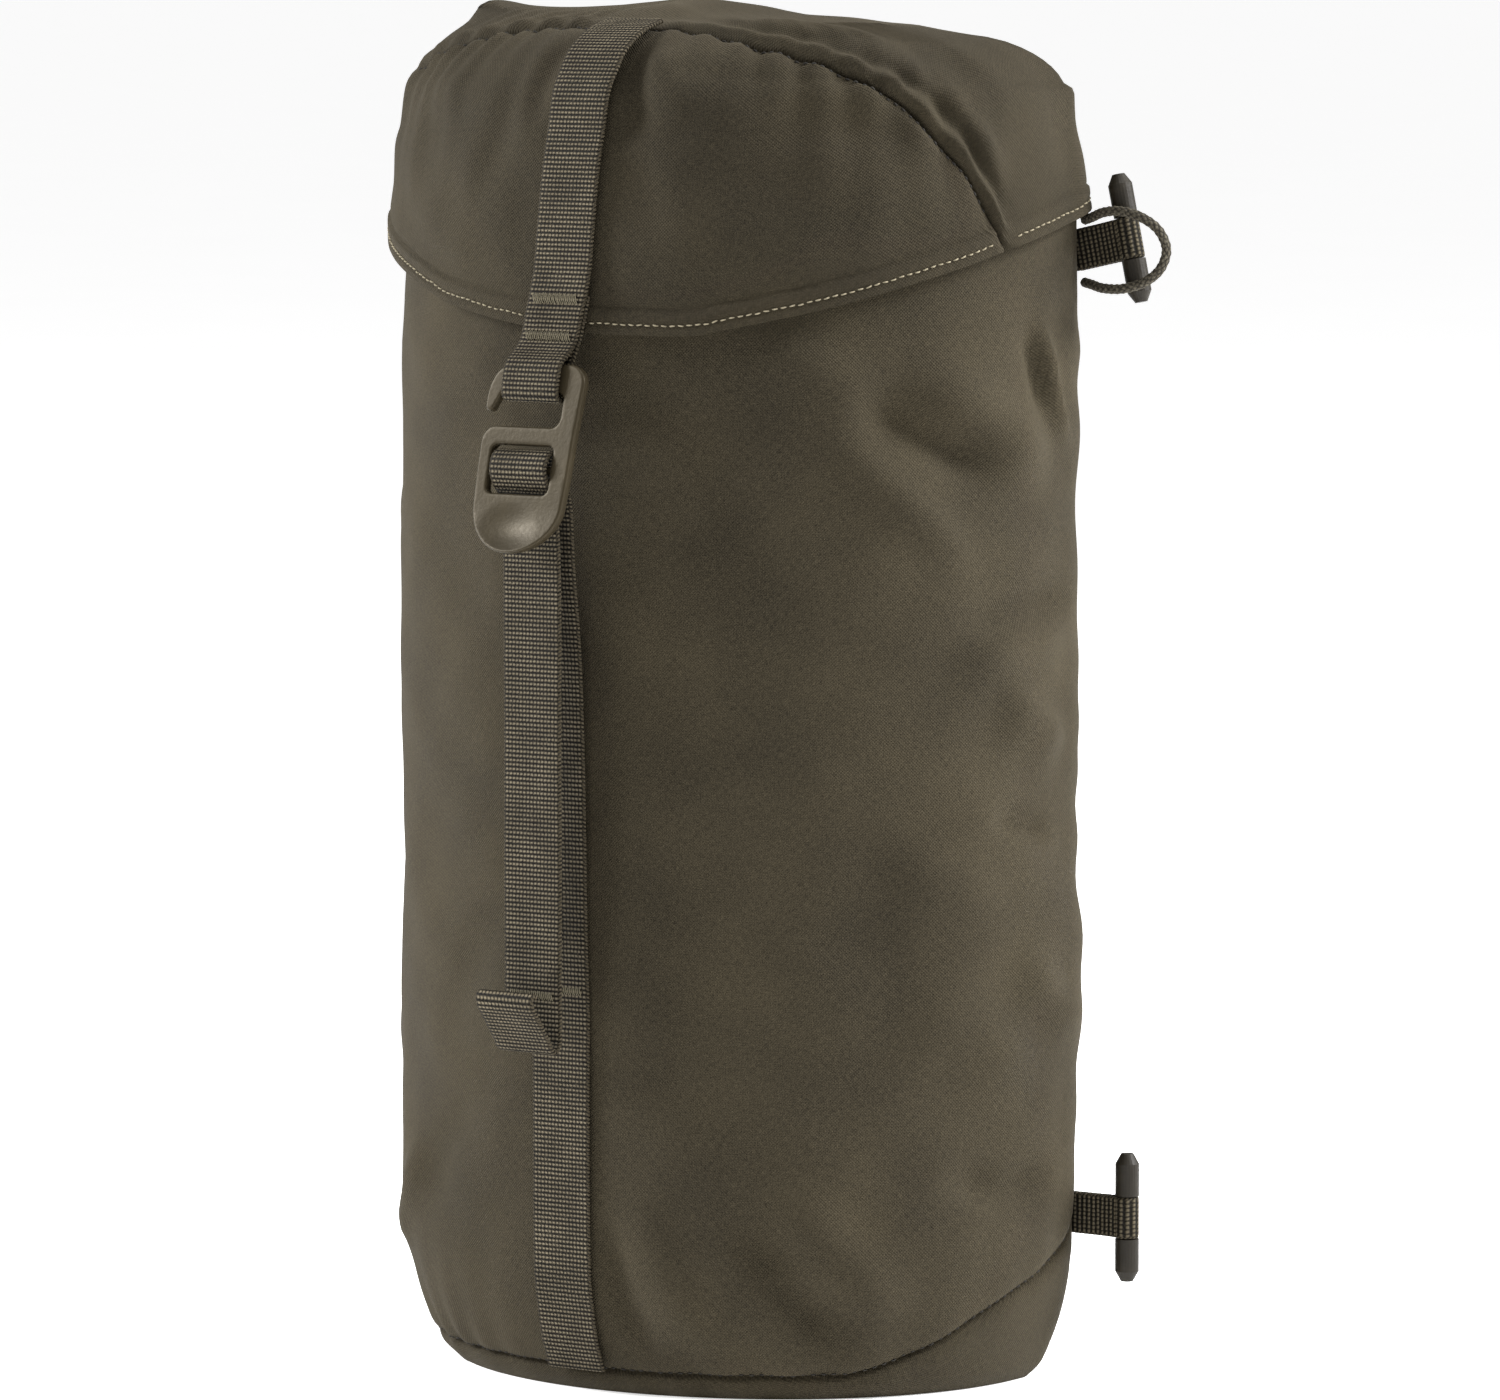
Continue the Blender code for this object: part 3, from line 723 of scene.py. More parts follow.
# How far the lid is drawn in, and at what height.
LID_PROFILE = [(0, 0.295), (0, 0.315), (0, 0.333), (0.0013, 0.346), (0.0026, 0.357),
               (0.0042, 0.364), (0.0060, 0.3745), (0.0090, 0.3805), (0.0130, 0.3858),
               (0.0206, 0.3912), (0.029, 0.3945), (0.038, 0.3970)]
# The hem's height, from front to back, and how much more it is from left to right.
HEM = [(-0.090, 0.307), (-0.0595, 0.308), (-0.052, 0.311), (-0.042, 0.316), (-0.020, 0.323),
       (-0.003, 0.327), (0.0096, 0.3305), (0.040, 0.338), (0.056, 0.342), (0.090, 0.342)]
HEM_SKEW = [(-0.109, 0.0055), (-0.089, 0.0067), (-0.066, 0.0057), (-0.0415, 0.0050),
            (-0.018, 0.0019), (0.0, 0.0), (0.032, -0.0012), (0.051, -0.0020), (0.069, -0.0032),
            (0.089, -0.0024), (0.100, -0.0008), (0.109, 0.0)]
# The seam between the lid's two panels, from the side: (y, height).
LID_SEAM = [(0.0096, 0.3305), (0.0083, 0.3340), (0.0042, 0.3423), (-0.001, 0.3525),
            (-0.0072, 0.361), (-0.0156, 0.3728), (-0.0266, 0.3838), (-0.0335, 0.389),
            (-0.0342, 0.393), (-0.0342, 0.45)]

lid_canvas = canvas("lid_canvas", (0.0140, 0.0112, 0.0063, 1), (0.0395, 0.0320, 0.0190, 1))
# The crown's canvas is a little darker than the front panel's: painted shade on the lid's top,
# which gets less light from above.
crown_canvas_painted_shade = canvas("crown_canvas_painted_shade", (0.0140, 0.0112, 0.0063, 1), (0.0370, 0.0299, 0.0177, 1))
lid_inset, lid_height = table_of(LID_PROFILE)
lid_run = run_of(np.stack([lid_inset, lid_height], axis=-1))
all_round = np.arange(STATIONS)


def lid_at(p, at=all_round):
    """Points of the lid. p is 0 below the hem, 1 at the edge of the crown and 2 in its middle."""
    along = np.minimum(p, 1) * lid_run[-1]
    inset = np.interp(along, lid_run, lid_inset)
    z = np.interp(along, lid_run, lid_height)
    x, y = d_shape(inset, CAP_EASE, CAP_BACK_EASE + np.minimum(inset, CAP_BACK_RISE), at)
    z = z - CAP_SLOPE * rise(inset, 0.006, 0.003) * (y - FRONT_Y)
    share = np.clip(2 - p, 0, 1)
    z = z + CROWN_RISE * (1 - share ** 1.4)
    return np.stack([x * share, CROWN_Y + (y - CROWN_Y) * share, z + 0 * x], axis=-1)


def looked_up(rows, p):
    """Values of an even grid of rows over p = 0 to 2, at other heights p."""
    place = np.clip(p / 2, 0, 0.995) * (len(rows) - 1)     # the very middle faces no way at all
    low = np.floor(place).astype(int)
    part = (place - low)[..., None]
    column = np.arange(p.shape[1])[None, :] + 0 * low
    return rows[low, column] * (1 - part) + rows[np.minimum(low + 1, len(rows) - 1), column] * part


even = np.linspace(0, 2, 320)[:, None] + np.zeros(STATIONS)
lid_out = out_of(lid_at(even))
hem_x, hem_y = d_shape(0.0, CAP_EASE, CAP_BACK_EASE)
hem_line = smooth_path(HEM, 0.001)
hem_z = np.interp(hem_y, hem_line[:, 0], hem_line[:, 1])
skew = smooth_path(HEM_SKEW, 0.001)
hem_z += np.interp(hem_x, skew[:, 0], skew[:, 1]) * np.clip((0.058 - hem_y) / 0.016, 0, 1)
hem_p = np.interp(hem_z, lid_height, lid_run) / lid_run[-1]
search = hem_p + (2 - hem_p) * np.linspace(0, 1, 600)[:, None]
found = lid_at(search)
seam_y = np.interp(found[..., 2], [z for y, z in LID_SEAM], [y for y, z in LID_SEAM])
behind = found[..., 1] > seam_y
first_behind = np.take_along_axis(search, behind.argmax(axis=0)[None], 0)[0]
seam_p = np.where(hem_y > LID_SEAM[0][0], hem_p, first_behind)
front_at = np.where(seam_p > hem_p + 1e-4)[0]
front_at = np.arange(front_at[0] - 1, front_at[-1] + 2)


def hem_shape(from_hem):
    """A doubled band with a row of stitches sunk into it."""
    band = 0.0006 * np.clip((HEM_BAND - from_hem) / 0.0008, 0, 1)
    stitched = groove(from_hem - HEM_STITCH, 0.0005, 0.0009)
    return band + stitched + groove(from_hem - HEM_BAND, 0.0004, 0.0007)


def shoulder(s, p):
    """The lid is packed fuller on its left and swells above its hem. Its right rear corner has a
    tuck, with a crease in front of it."""
    left = hill(s + 0.118, 0.055) * hill(p - 1.02, 0.26)
    low = rise(np.abs(s), 0.02, 0.06) * hill(p - 0.45, 0.25) * np.where(s < 0, 1.6, 0.3)
    tuck = hill(s - 0.180, 0.018) * hill(p - 0.60, 0.13)
    crease = hill(s - 0.168 + 0.012 * (p - 0.6), 0.0045) * np.exp(-((p - 0.55) / 0.30) ** 4)
    return 0.0052 * left + 0.0012 * low - 0.0034 * tuck + 0.0016 * crease


front_p = hem_p[front_at] + (seam_p - hem_p)[front_at] * crowded(84)
front_rows = lid_at(front_p, front_at)
front_out = looked_up(lid_out[:, front_at], front_p)
from_hem = lengths_down(front_rows)
to_seam = from_hem[-1] - from_hem
s_front = girth[front_at] + 0 * front_p
off_strap = rise(np.abs(s_front - LID_LANE), 0.011, 0.012)
edges = rise(to_seam, 0, 0.004) * np.clip((from_hem - HEM_BAND) / 0.008, 0, 1)
front_stand = hem_shape(from_hem)
front_stand += (off_strap * ruck(s_front, to_seam, 0.0125, 0.0014, 0.013, 51)
                * rise(to_seam, 0, 0.002))
front_stand += seam(to_seam)
front_stand += edges * off_strap * (0.0007 * slack(s_front, from_hem, 0.06, 52)
                                    + 0.0004 * slack(s_front, from_hem, 0.024, 53))
LID_CREASES = 1.3           # the same for the lid, whose lines go up from its hem
LID_FOLDS = [([(19, 88), (22, 70), (27, 52)], -2.0, 4, 1.5),
             ([(28, 86), (34, 70), (40, 58)], 1.2, 5, 1.5),
             ([(-8, 88), (-10, 70), (-12, 54)], -1.6, 4, 1.0),
             ([(22, 56), (28, 40), (32, 24)], -1.2, 6, 1.3),
             ([(30, 78), (48, 62), (70, 54)], 1.0, 6, 1.5),
             ([(64, 62), (86, 50), (108, 34)], -0.9, 6, 1.4),
             ([(96, 52), (118, 36), (136, 20)], 0.9, 5, 1.4),
             ([(-18, 74), (-24, 52), (-30, 26)], -1.0, 6, 0.8),
             ([(-40, 70), (-58, 52), (-84, 40)], 1.0, 7, 1.0),
             ([(-92, 44), (-112, 34), (-132, 22)], -0.9, 6, 1.0)]
for line, tall, width, lean in LID_FOLDS:
    front_stand += edges * fold(s_front, from_hem, line, LID_CREASES * tall, width, lean)
beside_strap = np.clip(1 - np.abs(np.abs(s_front) - 0.034) / 0.024, 0, 1)
front_stand += 0.0009 * off_strap * beside_strap * edges
front_stand += shoulder(s_front, front_p)
front_points = front_rows + front_out * front_stand[..., None]
panel("lid_front", front_points, np.stack([s_front, from_hem], axis=-1), lid_canvas, "lid",
      ["lid_front_panel"])

crown_p = seam_p + (2 - seam_p) * crowded(100)
crown_rows = lid_at(crown_p)
crown_out = looked_up(lid_out, crown_p)
from_edge = lengths_down(crown_rows)
s_crown = girth + 0 * crown_p
seamed = np.clip((LID_SEAM[0][0] + 0.004 - hem_y) / 0.010, 0, 1) + 0 * crown_p
off_strap = rise(np.abs(s_crown - LID_LANE), 0.011, 0.012)
crown_stand = seamed * seam(from_edge) + (1 - seamed) * hem_shape(from_edge)
pipe = rise(s_crown, 0.03, 0.03)
crown_stand += seamed * pipe * groove(from_edge - 0.0115, 0.0016, 0.0040)
crown_stand += seamed * off_strap * ((0.0008 + 0.0010 * pipe) * hill(from_edge - 0.0046, 0.0030)
                                     + ruck(s_crown, from_edge, 0.0120, 0.0013, 0.012, 61)
                                     * rise(from_edge, 0, 0.002))
x_crown = crown_rows[..., 0]
y_crown = crown_rows[..., 1]
open_crown = rise(from_edge, 0.006, 0.01)
crown_stand += open_crown * (0.0008 * slack(x_crown, y_crown, 0.055, 62)
                             + 0.0004 * slack(x_crown, y_crown, 0.024, 63))
# The crown's lines go back from its edge.
CROWN_FOLDS = [([(112, 10), (132, 24), (160, 40)], 2.2, 5, 1.5),
               ([(104, 18), (122, 38), (146, 62)], -1.8, 6, 1.2),
               ([(146, 7), (162, 17), (180, 24)], 0.5, 4, 1.4),
               ([(150, 34), (166, 44), (184, 48)], -2.0, 5, 1.0),
               ([(60, 14), (84, 24), (112, 30)], 1.0, 5, 1.4),
               ([(-20, 12), (10, 20), (44, 18)], 0.8, 6, 1.2)]
for line, tall, width, lean in CROWN_FOLDS:
    crown_stand += seamed * fold(s_crown, from_edge, line, tall, width, lean)
crown_stand += shoulder(s_crown, crown_p)
crown_stand *= np.clip((2 - crown_p) / 0.08, 0, 1) ** 0.5
crown_points = crown_rows + crown_out * closed_up(crown_stand)[..., None]
crown_cloth = polar_cloth(from_edge[-1] - from_edge)
panel("lid_crown", crown_points, crown_cloth, crown_canvas_painted_shade, "lid", ["lid_top_panel"])


# ---- The stitching
# Pale thread topstitches the lid's hem all the way round. Dark thread shows where the seam between
# the lid's two panels and the seam round the base were closed.


def thread(name, roughness, dark, light):
    """Twisted sewing thread."""
    finish = Finish(name, {"Roughness": roughness, "Specular IOR Level": 0.3})
    twist = finish.noise(finish.cloth_place(), 1500.0)
    finish.wire(finish.shader, {"Base Color": finish.blend(twist, dark, light)})
    return finish


pale_thread = thread("pale_thread", 0.7, (0.13, 0.110, 0.070, 1), (0.36, 0.315, 0.215, 1))
dark_thread = thread("dark_thread", 0.75, (0.006, 0.005, 0.004, 1), (0.022, 0.019, 0.014, 1))


STITCH_SINK = 0.00025       # how far a stitch's ends go into the cloth


def sewn(name, stitches, radius, finish, body, arch=0.00035):
    """Stitches, each a fine thread from one point to another that arches out of the cloth
    between them and sinks in at both ends."""
    t = np.linspace(0, 1, 6)
    angle = np.arange(5) * math.tau / 5
    starts = np.array([a for a, b, out in stitches])
    ends = np.array([b for a, b, out in stitches])
    outs = unit(np.array([out for a, b, out in stitches], float))
    along = unit(ends - starts)
    across = np.cross(along, outs)
    lift = (arch + STITCH_SINK) * np.sin(math.pi * t) ** 0.6 - STITCH_SINK
    line = (starts[:, None] + (ends - starts)[:, None] * t[:, None] + outs[:, None] * lift[:, None])
    thick = radius * (0.6 + 0.4 * np.sin(math.pi * t))
    ring = (np.cos(angle)[:, None] * across[:, None, None]
            + np.sin(angle)[:, None] * outs[:, None, None])
    points = line[:, :, None] + ring * thick[:, None, None]
    count = len(stitches)
    faces = rows_to_faces(len(t), len(angle), closed=True)
    faces = (faces + (np.arange(count) * len(t) * len(angle))[:, None, None]).reshape(-1, 4)
    cloth = np.stack([points[..., 0] + points[..., 1], points[..., 2]], axis=-1)
    made = piece(name, points, faces, cloth, finish)
    cap_ends(made)
    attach(made, body)
    return made


def row_of_stitches(path, outs, pitch, length, wander, seed):
    """Stitches one after the other along a path, with a little unevenness."""
    draw = random.Random(seed)
    run = run_of(path)
    made = []
    for start in np.arange(pitch / 2, run[-1] - pitch, pitch):
        ends = []
        for where in (start, start + length):
            point = np.array([np.interp(where, run, path[:, i]) for i in range(3)])
            ends.append(point + np.array([0, 0, draw.uniform(-wander, wander)]))
        out = np.array([np.interp(start, run, outs[:, i]) for i in range(3)])
        made.append((ends[0], ends[1], out))
    return made


def across_rows(rows, distance, wanted):
    """The line over a panel that is the same distance from its first row everywhere."""
    line = []
    for column in range(rows.shape[1]):
        line.append([np.interp(wanted, distance[:, column], rows[:, column, i]) for i in range(3)])
    return np.array(line)


front_line = across_rows(front_points, from_hem, HEM_STITCH)
front_outs = across_rows(front_out, from_hem, HEM_STITCH)
back_part = np.concatenate([np.arange(front_at[-1], STATIONS), np.arange(0, front_at[0] + 1)])
back_line = across_rows(crown_points[:, back_part], from_edge[:, back_part], HEM_STITCH)
back_outs = across_rows(crown_out[:, back_part], from_edge[:, back_part], HEM_STITCH)
tall_enough = from_hem[-1] > HEM_STITCH
HEM_SEWING = (0.0025, 0.00185, 0.00022)     # from stitch to stitch, a stitch's length, its wander
hem_stitches = row_of_stitches(front_line[tall_enough], front_outs[tall_enough], *HEM_SEWING, 71)
hem_stitches += row_of_stitches(back_line[1:-1], back_outs[1:-1], *HEM_SEWING, 72)
sewn("hem_stitches", hem_stitches, 0.00026, pale_thread, "lid")
seam_line = across_rows(front_points[::-1], to_seam[::-1], 0.0016)[3:-3]
seam_outs = across_rows(front_out[::-1], to_seam[::-1], 0.0016)[3:-3]
seam_stitches = row_of_stitches(seam_line, seam_outs, 0.0027, 0.0016, 0.0002, 73)
sewn("lid_seam_stitches", seam_stitches, 0.00030, dark_thread, "lid", arch=0.0002)
foot_line = across_rows(wrap_points, above_seam, 0.0012)[2:-2]
foot_outs = across_rows(outward, above_seam, 0.0012)[2:-2]
foot_stitches = row_of_stitches(foot_line, foot_outs, 0.0030, 0.0017, 0.0003, 74)
sewn("base_seam_stitches", foot_stitches, 0.00030, dark_thread, "sack", arch=0.0002)


# ---- The strap
# Ribbed webbing 20 mm wide. One piece is sewn over the lid and loops round the hook's arm. The
# other starts in the base seam, goes up through the hook's slot, over its bar, and hangs down
# again to a stub that is rolled and sewn so that it can't pull out.

STRAP_W = 0.020
WEB = 0.0015
SWING_Z = 0.096             # the strap swings about here, where it leaves the sack
TAIL_Z = 0.239              # and the tail about here
RIB = 0.00130               # from one rib to the next, along the webbing
RIB_HEIGHT = 0.00016
DASH = 0.00124              # from one light warp thread to the next, across it
HOOK_Y = FRONT_Y - 0.0186
HOOK_Z = 0.2684
HOOK_TILT = math.radians(14.5)  # the hook's foot stands this far out from the sack


def webbing_finish(name, gap_shade, thread, shine, width, rib):
    """Coarse warp threads that show as light dashes on each rib. Between the ribs, and between the
    edge's slanting threads, the colour goes near black as painted shade.
    """
    web = Finish(name, {"Roughness": 0.66, "Specular IOR Level": 0.10})
    place = web.cloth_place()
    across, along = web.split(place)
    row = along / rib
    number = web.floor(row)
    # The colour follows the ribs' height: light on their crests and near black in the gaps between
    # them, which is painted shade.
    raised = web.sine((row - number) * math.pi) ** 3.0
    wobble = web.noise(place, 380.0, 1.0)
    offset = web.sine(number * 2.4) * 0.09
    dash = web.sine((across / DASH + offset + (row - number) * 0.10 + wobble * 0.3) * math.tau)
    lit = raised * (0.22 + 0.78 * web.ramp(dash, -0.80, 0.25))
    fuzz = web.noise(place, 1500.0, 2.0)
    shown = web.ramp(lit + (fuzz - 0.5) * 0.55, 0.02, 0.85)
    worn = web.noise(place, 90.0, 2.0)
    threads = web.blend(worn, thread, shine)
    colour = web.blend(shown, gap_shade, threads)
    selvedge = web.ramp(web.size(across), width / 2 - 0.0009, width / 2 - 0.0003)
    slant = web.sine((along / 0.0011 + across / 0.0014) * math.tau) * 0.5 + fuzz
    edge_colour = web.blend(web.ramp(slant, 0.1, 0.9), gap_shade, thread)
    web.wire(web.shader, {"Base Color": web.blend(selvedge * 0.8, colour, edge_colour)})
    web.relief(shown, 0.00030)
    return web


strap_webbing = webbing_finish("strap_webbing", (0.0026, 0.0020, 0.0012, 1),
                               (0.062, 0.050, 0.031, 1), (0.245, 0.208, 0.142, 1), STRAP_W, RIB)


def webbing(name, path, across, finish, width=STRAP_W, rib=RIB, steps=5, shift=0.0):
    """A length of webbing along a path, with ribs on both its faces and firm woven edges."""
    path = smooth_path(path, rib / steps)
    along = unit(np.gradient(path, axis=0))
    across = unit(np.array(across, float))
    out = unit(np.cross(across, along))
    run = run_of(path)
    half = np.array([-1.0, -0.97, -0.86, -0.6, -0.3, 0.0, 0.3, 0.6, 0.86, 0.97, 1.0])
    firm = np.array([0.30, 0.82, 1, 1, 1, 1, 1, 1, 1, 0.82, 0.30])
    swell = np.abs(np.sin(run * math.pi / rib)) ** 0.7
    thick = WEB / 2 - RIB_HEIGHT + RIB_HEIGHT * swell
    reach = 1 + 0.012 * (swell - 0.5) + 0.006 * np.sin(run / 0.011 + shift * 400)
    place = np.concatenate([half, half[::-1]]) * width / 2
    side = np.concatenate([firm, -firm[::-1]])
    points = (path[:, None] + across * (place * reach[:, None])[..., None]
              + out[:, None] * (side * thick[:, None])[..., None])
    cloth = np.stack([place + 0 * thick[:, None], run[:, None] + shift + 0 * place], axis=-1)
    made = piece(name, points, rows_to_faces(len(path), len(place), closed=True), cloth, finish)
    cap_ends(made)
    return made


def off_front(line, swerve=None):
    """Points in the middle of the front, from (distance ahead of the sack, height). swerve gives
    how far to the right they are, from the height."""
    return [(swerve(z) if swerve else 0, FRONT_Y - out, z) for out, z in line]


def lid_swerve(z):
    """The strap over the lid leans to the right."""
    heights = [0.302, 0.320, 0.345, 0.375, 0.40]
    return float(np.interp(z, heights, [0, 0.0042, 0.0052, 0.0066, 0.0082]))


ACROSS = (1, 0, 0)
LID_LINE = [(-0.0252, 0.3954), (-0.0159, 0.3926), (-0.0080, 0.3877), (-0.0040, 0.3824),
            (-0.0003, 0.3752), (0.0014, 0.3645), (0.0028, 0.3575), (0.0041, 0.346),
            (0.0051, 0.334), (0.0057, 0.326), (0.0070, 0.319), (0.0072, 0.3135), (0.0073, 0.3056)]
LOOP_LINE = [(0.0094, 0.3019), (0.0136, 0.2986), (0.0150, 0.2944), (0.0156, 0.2906),
             (0.0150, 0.2890), (0.0134, 0.2883), (0.0114, 0.2885), (0.0104, 0.2901),
             (0.0086, 0.2974), (0.0066, 0.3016), (0.0056, 0.3052), (0.0054, 0.3110),
             (0.0054, 0.3178)]
lid_webbing = webbing("lid_webbing", off_front(LID_LINE + LOOP_LINE, lid_swerve), ACROSS,
                      strap_webbing)
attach(lid_webbing, "lid")
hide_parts("lid_strap", "lid_strap_end", "lid_strap_loop")

LEG_LINE = [(-0.0063, 0.0071), (-0.0027, 0.0166), (-0.0008, 0.026), (0.0006, 0.035),
            (0.0011, 0.055), (0.0011, 0.080), (0.0011, SWING_Z), (0.0011, 0.112), (0.0017, 0.126),
            (0.0042, 0.207), (0.0077, 0.239), (0.0090, 0.2564), (0.0100, 0.2612)]
leg = webbing("strap_webbing_leg", off_front(LEG_LINE), ACROSS, strap_webbing, shift=0.31)
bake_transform(leg)
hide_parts("anchor_strap", "strap_leg")

BAR_R = 0.0015
BAR_DEPTH = 0.0008          # how far behind the middle of the plate the bar lies
BAR_LENGTH = 0.0236         # with its ends inside the plate
bar_out = FRONT_Y - HOOK_Y - BAR_DEPTH * math.cos(HOOK_TILT)
bar_z = HOOK_Z - BAR_DEPTH * math.sin(HOOK_TILT)
TURN = (0.0036, 0.0048)     # how far out and up the webbing's turn stands from the bar's axis
over_bar = []
for degrees in range(135, -31, -30):
    t = math.radians(degrees)
    over_bar.append((bar_out + TURN[0] * math.cos(t), bar_z + 0.0006 + TURN[1] * math.sin(t)))
TAIL_LINE = ([(0.0102, 0.2615), (0.0126, 0.2668)] + over_bar
             + [(0.0196, 0.2642), (0.0174, 0.2614), (0.0156, 0.2540), (0.0147, TAIL_Z),
                (0.0146, 0.200), (0.0146, 0.150), (0.0146, 0.1196), (0.0146, 0.1065),
                (0.0153, 0.1035), (0.0168, 0.1023), (0.0187, 0.1033), (0.0206, 0.1062),
                (0.0234, 0.1100), (0.0262, 0.1136), (0.0281, 0.1162), (0.0285, 0.1182),
                (0.0275, 0.1195), (0.0261, 0.1190)])
tail = webbing("strap_webbing_tail", off_front(TAIL_LINE), ACROSS, strap_webbing, shift=0.57)
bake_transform(tail)
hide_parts("strap_turn", "strap_tail", "tail_fold")

tack_thread = thread("tack_thread", 0.7, (0.085, 0.072, 0.044, 1), (0.22, 0.195, 0.130, 1))


def bartack(name, middle, out, width, height, body):
    """A block of close zigzag stitches across the webbing."""
    middle = np.array(middle, float)
    out = unit(np.array(out, float))
    across = np.array(ACROSS, float)
    upward = np.cross(out, across) * -1
    draw = random.Random(name)
    stitches = []
    count = int(width / 0.00068)
    for i in range(count):
        x = -width / 2 + width * (i + 0.5) / count
        foot = -height / 2 + draw.uniform(-0.0002, 0.0002)
        head = height / 2 + draw.uniform(-0.0002, 0.0002)
        low = middle + across * (x - 0.00035) + upward * foot
        high = middle + across * (x + 0.00035) + upward * head
        stitches.append((low, high, out) if i % 2 else (high, low, out))
    sewn(name, stitches, 0.00017, tack_thread, body, arch=0.00020)


for name, z in (("bartack_upper", 0.3170), ("bartack_lower", 0.3062)):
    bartack(name, (lid_swerve(z), FRONT_Y - 0.0083, z), (0, -1, 0.03), 0.0155, 0.0029, "lid")
bartack("bartack_stub", (0, FRONT_Y - 0.0155, 0.1180), (0, -1, 0), 0.0150, 0.0024, "tail")
bartack("bartack_leg", (0, FRONT_Y - 0.00215, 0.1180), (0, -1, 0), 0.0155, 0.0026, "strap")


# ---- The hook
# A flat G-shaped hook cast in alloy and coated in a satin olive. The slot takes the webbing, the
# open arm catches the lid's loop, and its foot curls out for the thumb.

coating = Finish("hook_coating", {"Metallic": 0.0, "Specular IOR Level": 0.26,
                                 "Specular Tint": (1.0, 0.86, 0.62, 1)})
place = coating.solid_place()
peel = coating.noise(place, 900.0, 3.0)
rubbed = coating.ramp(coating.noise(place, 90.0, 3.0), 0.45, 0.75)
coating.wire(coating.shader, {"Base Color": coating.blend(rubbed, (0.022, 0.0172, 0.0096, 1),
                                                          (0.031, 0.0245, 0.0140, 1))})
coating.wire(coating.shader, {"Roughness": 0.37 + peel * 0.14})
coating.relief(peel, 0.00006)


PLATE = 0.0030
EDGE = 0.0007               # the plate's rounded edges
CURL_START = -0.010         # below this height, from the bar, the foot curls outwards
CURL = 13.0                 # how sharply, per metre
DISH = (-0.0020, -0.0176)   # the middle of the thumb's hollow
DISH_SIZE = (0.0118, 0.0088)
DISH_DEPTH = 0.0011
CUT = 0.0008                # the plate is worked in squares of this size


def arc(cx, cy, rx, ry, start, end, steps):
    """Points of an elliptical arc, in degrees, both ends included."""
    turns = [math.radians(start + (end - start) * i / steps) for i in range(steps + 1)]
    return [(cx + rx * math.cos(t), cy + ry * math.sin(t)) for t in turns]


def hook_outline():
    """The G in the plane of the plate, in millimetres from the bar's axis, anticlockwise."""
    foot = arc(0.35, -9.5, 15.55, 14.9, 180, 360, 56)
    right_side = [(16.3, -2), (16.6, 10)] + arc(11.9, 25.2, 5.6, 5.7, 0, 90, 18)
    leaf = arc(-9.5, 19.6, 6.3, 10.4, 90, 172, 18) + arc(-14.4, 18.2, 1.4, 1.5, 190, 330, 10)
    arm = [(-10.9, 21.9), (-9.8, 22.4)] + arc(9.2, 20.5, 1.9, 1.9, 90, 0, 8)
    throat = [(11.0, 17.0)] + arc(8.0, 15.6, 3.0, 3.1, 0, -90, 12)
    bar_top = arc(-10.8, 7.5, 4.8, 5.0, 90, 180, 14) + [(-15.5, -2)]
    return foot + right_side + leaf + arm + throat + bar_top


def slot_outline():
    corners = []
    for cx, cy, start in ((8.2, 5.2, 0), (-9.4, 5.2, 90), (-9.4, -5.0, 180), (8.2, -5.0, 270)):
        corners += arc(cx, cy, 2.0, 2.0, start, start + 90, 8)
    return corners


def slab(outline, depth):
    """An outline in the XZ plane, drawn out along Y to both sides."""
    bm = bmesh.new()
    face = bm.faces.new([bm.verts.new((x / 1000, -depth, z / 1000)) for x, z in outline])
    grown = bmesh.ops.extrude_face_region(bm, geom=[face])["geom"]
    far = [g for g in grown if isinstance(g, bmesh.types.BMVert)]
    bmesh.ops.translate(bm, vec=(0, 2 * depth, 0), verts=far)
    bmesh.ops.recalc_face_normals(bm, faces=bm.faces)
    mesh = bpy.data.meshes.new("slab")
    bm.to_mesh(mesh)
    bm.free()
    made = bpy.data.objects.new("slab", mesh)
    scene.collection.objects.link(made)
    return made


plate = slab(hook_outline(), PLATE / 2)
slot_cutter = slab(slot_outline(), PLATE)
cut = plate.modifiers.new("slot", "BOOLEAN")
cut.operation = "DIFFERENCE"
cut.object = slot_cutter
bpy.context.view_layer.update()
bm = bmesh.new()
bm.from_object(plate, bpy.context.evaluated_depsgraph_get())
bmesh.ops.remove_doubles(bm, verts=bm.verts, dist=1e-6)
rims = [e for e in bm.edges if len(e.link_faces) == 2 and e.calc_face_angle(0) > 1.2
        and abs(e.verts[0].co.y - e.verts[1].co.y) < 1e-5]
bmesh.ops.bevel(bm, geom=rims, offset=EDGE, offset_type="OFFSET", segments=4, profile=0.5,
                affect="EDGES", clamp_overlap=True)
for axis, low, high in (((1, 0, 0), -0.0172, 0.0172), ((0, 0, 1), -0.0250, 0.0315)):
    for where in np.arange(low, high, CUT):
        bmesh.ops.bisect_plane(bm, geom=bm.verts[:] + bm.edges[:] + bm.faces[:], dist=1e-6,
                               plane_co=[where * a for a in axis], plane_no=axis)
for vert in bm.verts:
    x, y, z = vert.co
    off = math.hypot((x - DISH[0]) / DISH_SIZE[0], (z - DISH[1]) / DISH_SIZE[1])
    if y < 0:
        y += DISH_DEPTH * max(0.0, 1 - off * off) ** 2
    vert.co.y = y - CURL * max(0.0, CURL_START - z) ** 2
for face in bm.faces:
    face.smooth = True
for edge in bm.edges:
    edge.smooth = edge.calc_face_angle(0) < 0.6
bar = bmesh.ops.create_cone(bm, cap_ends=True, segments=28, radius1=BAR_R, radius2=BAR_R,
                            depth=BAR_LENGTH)
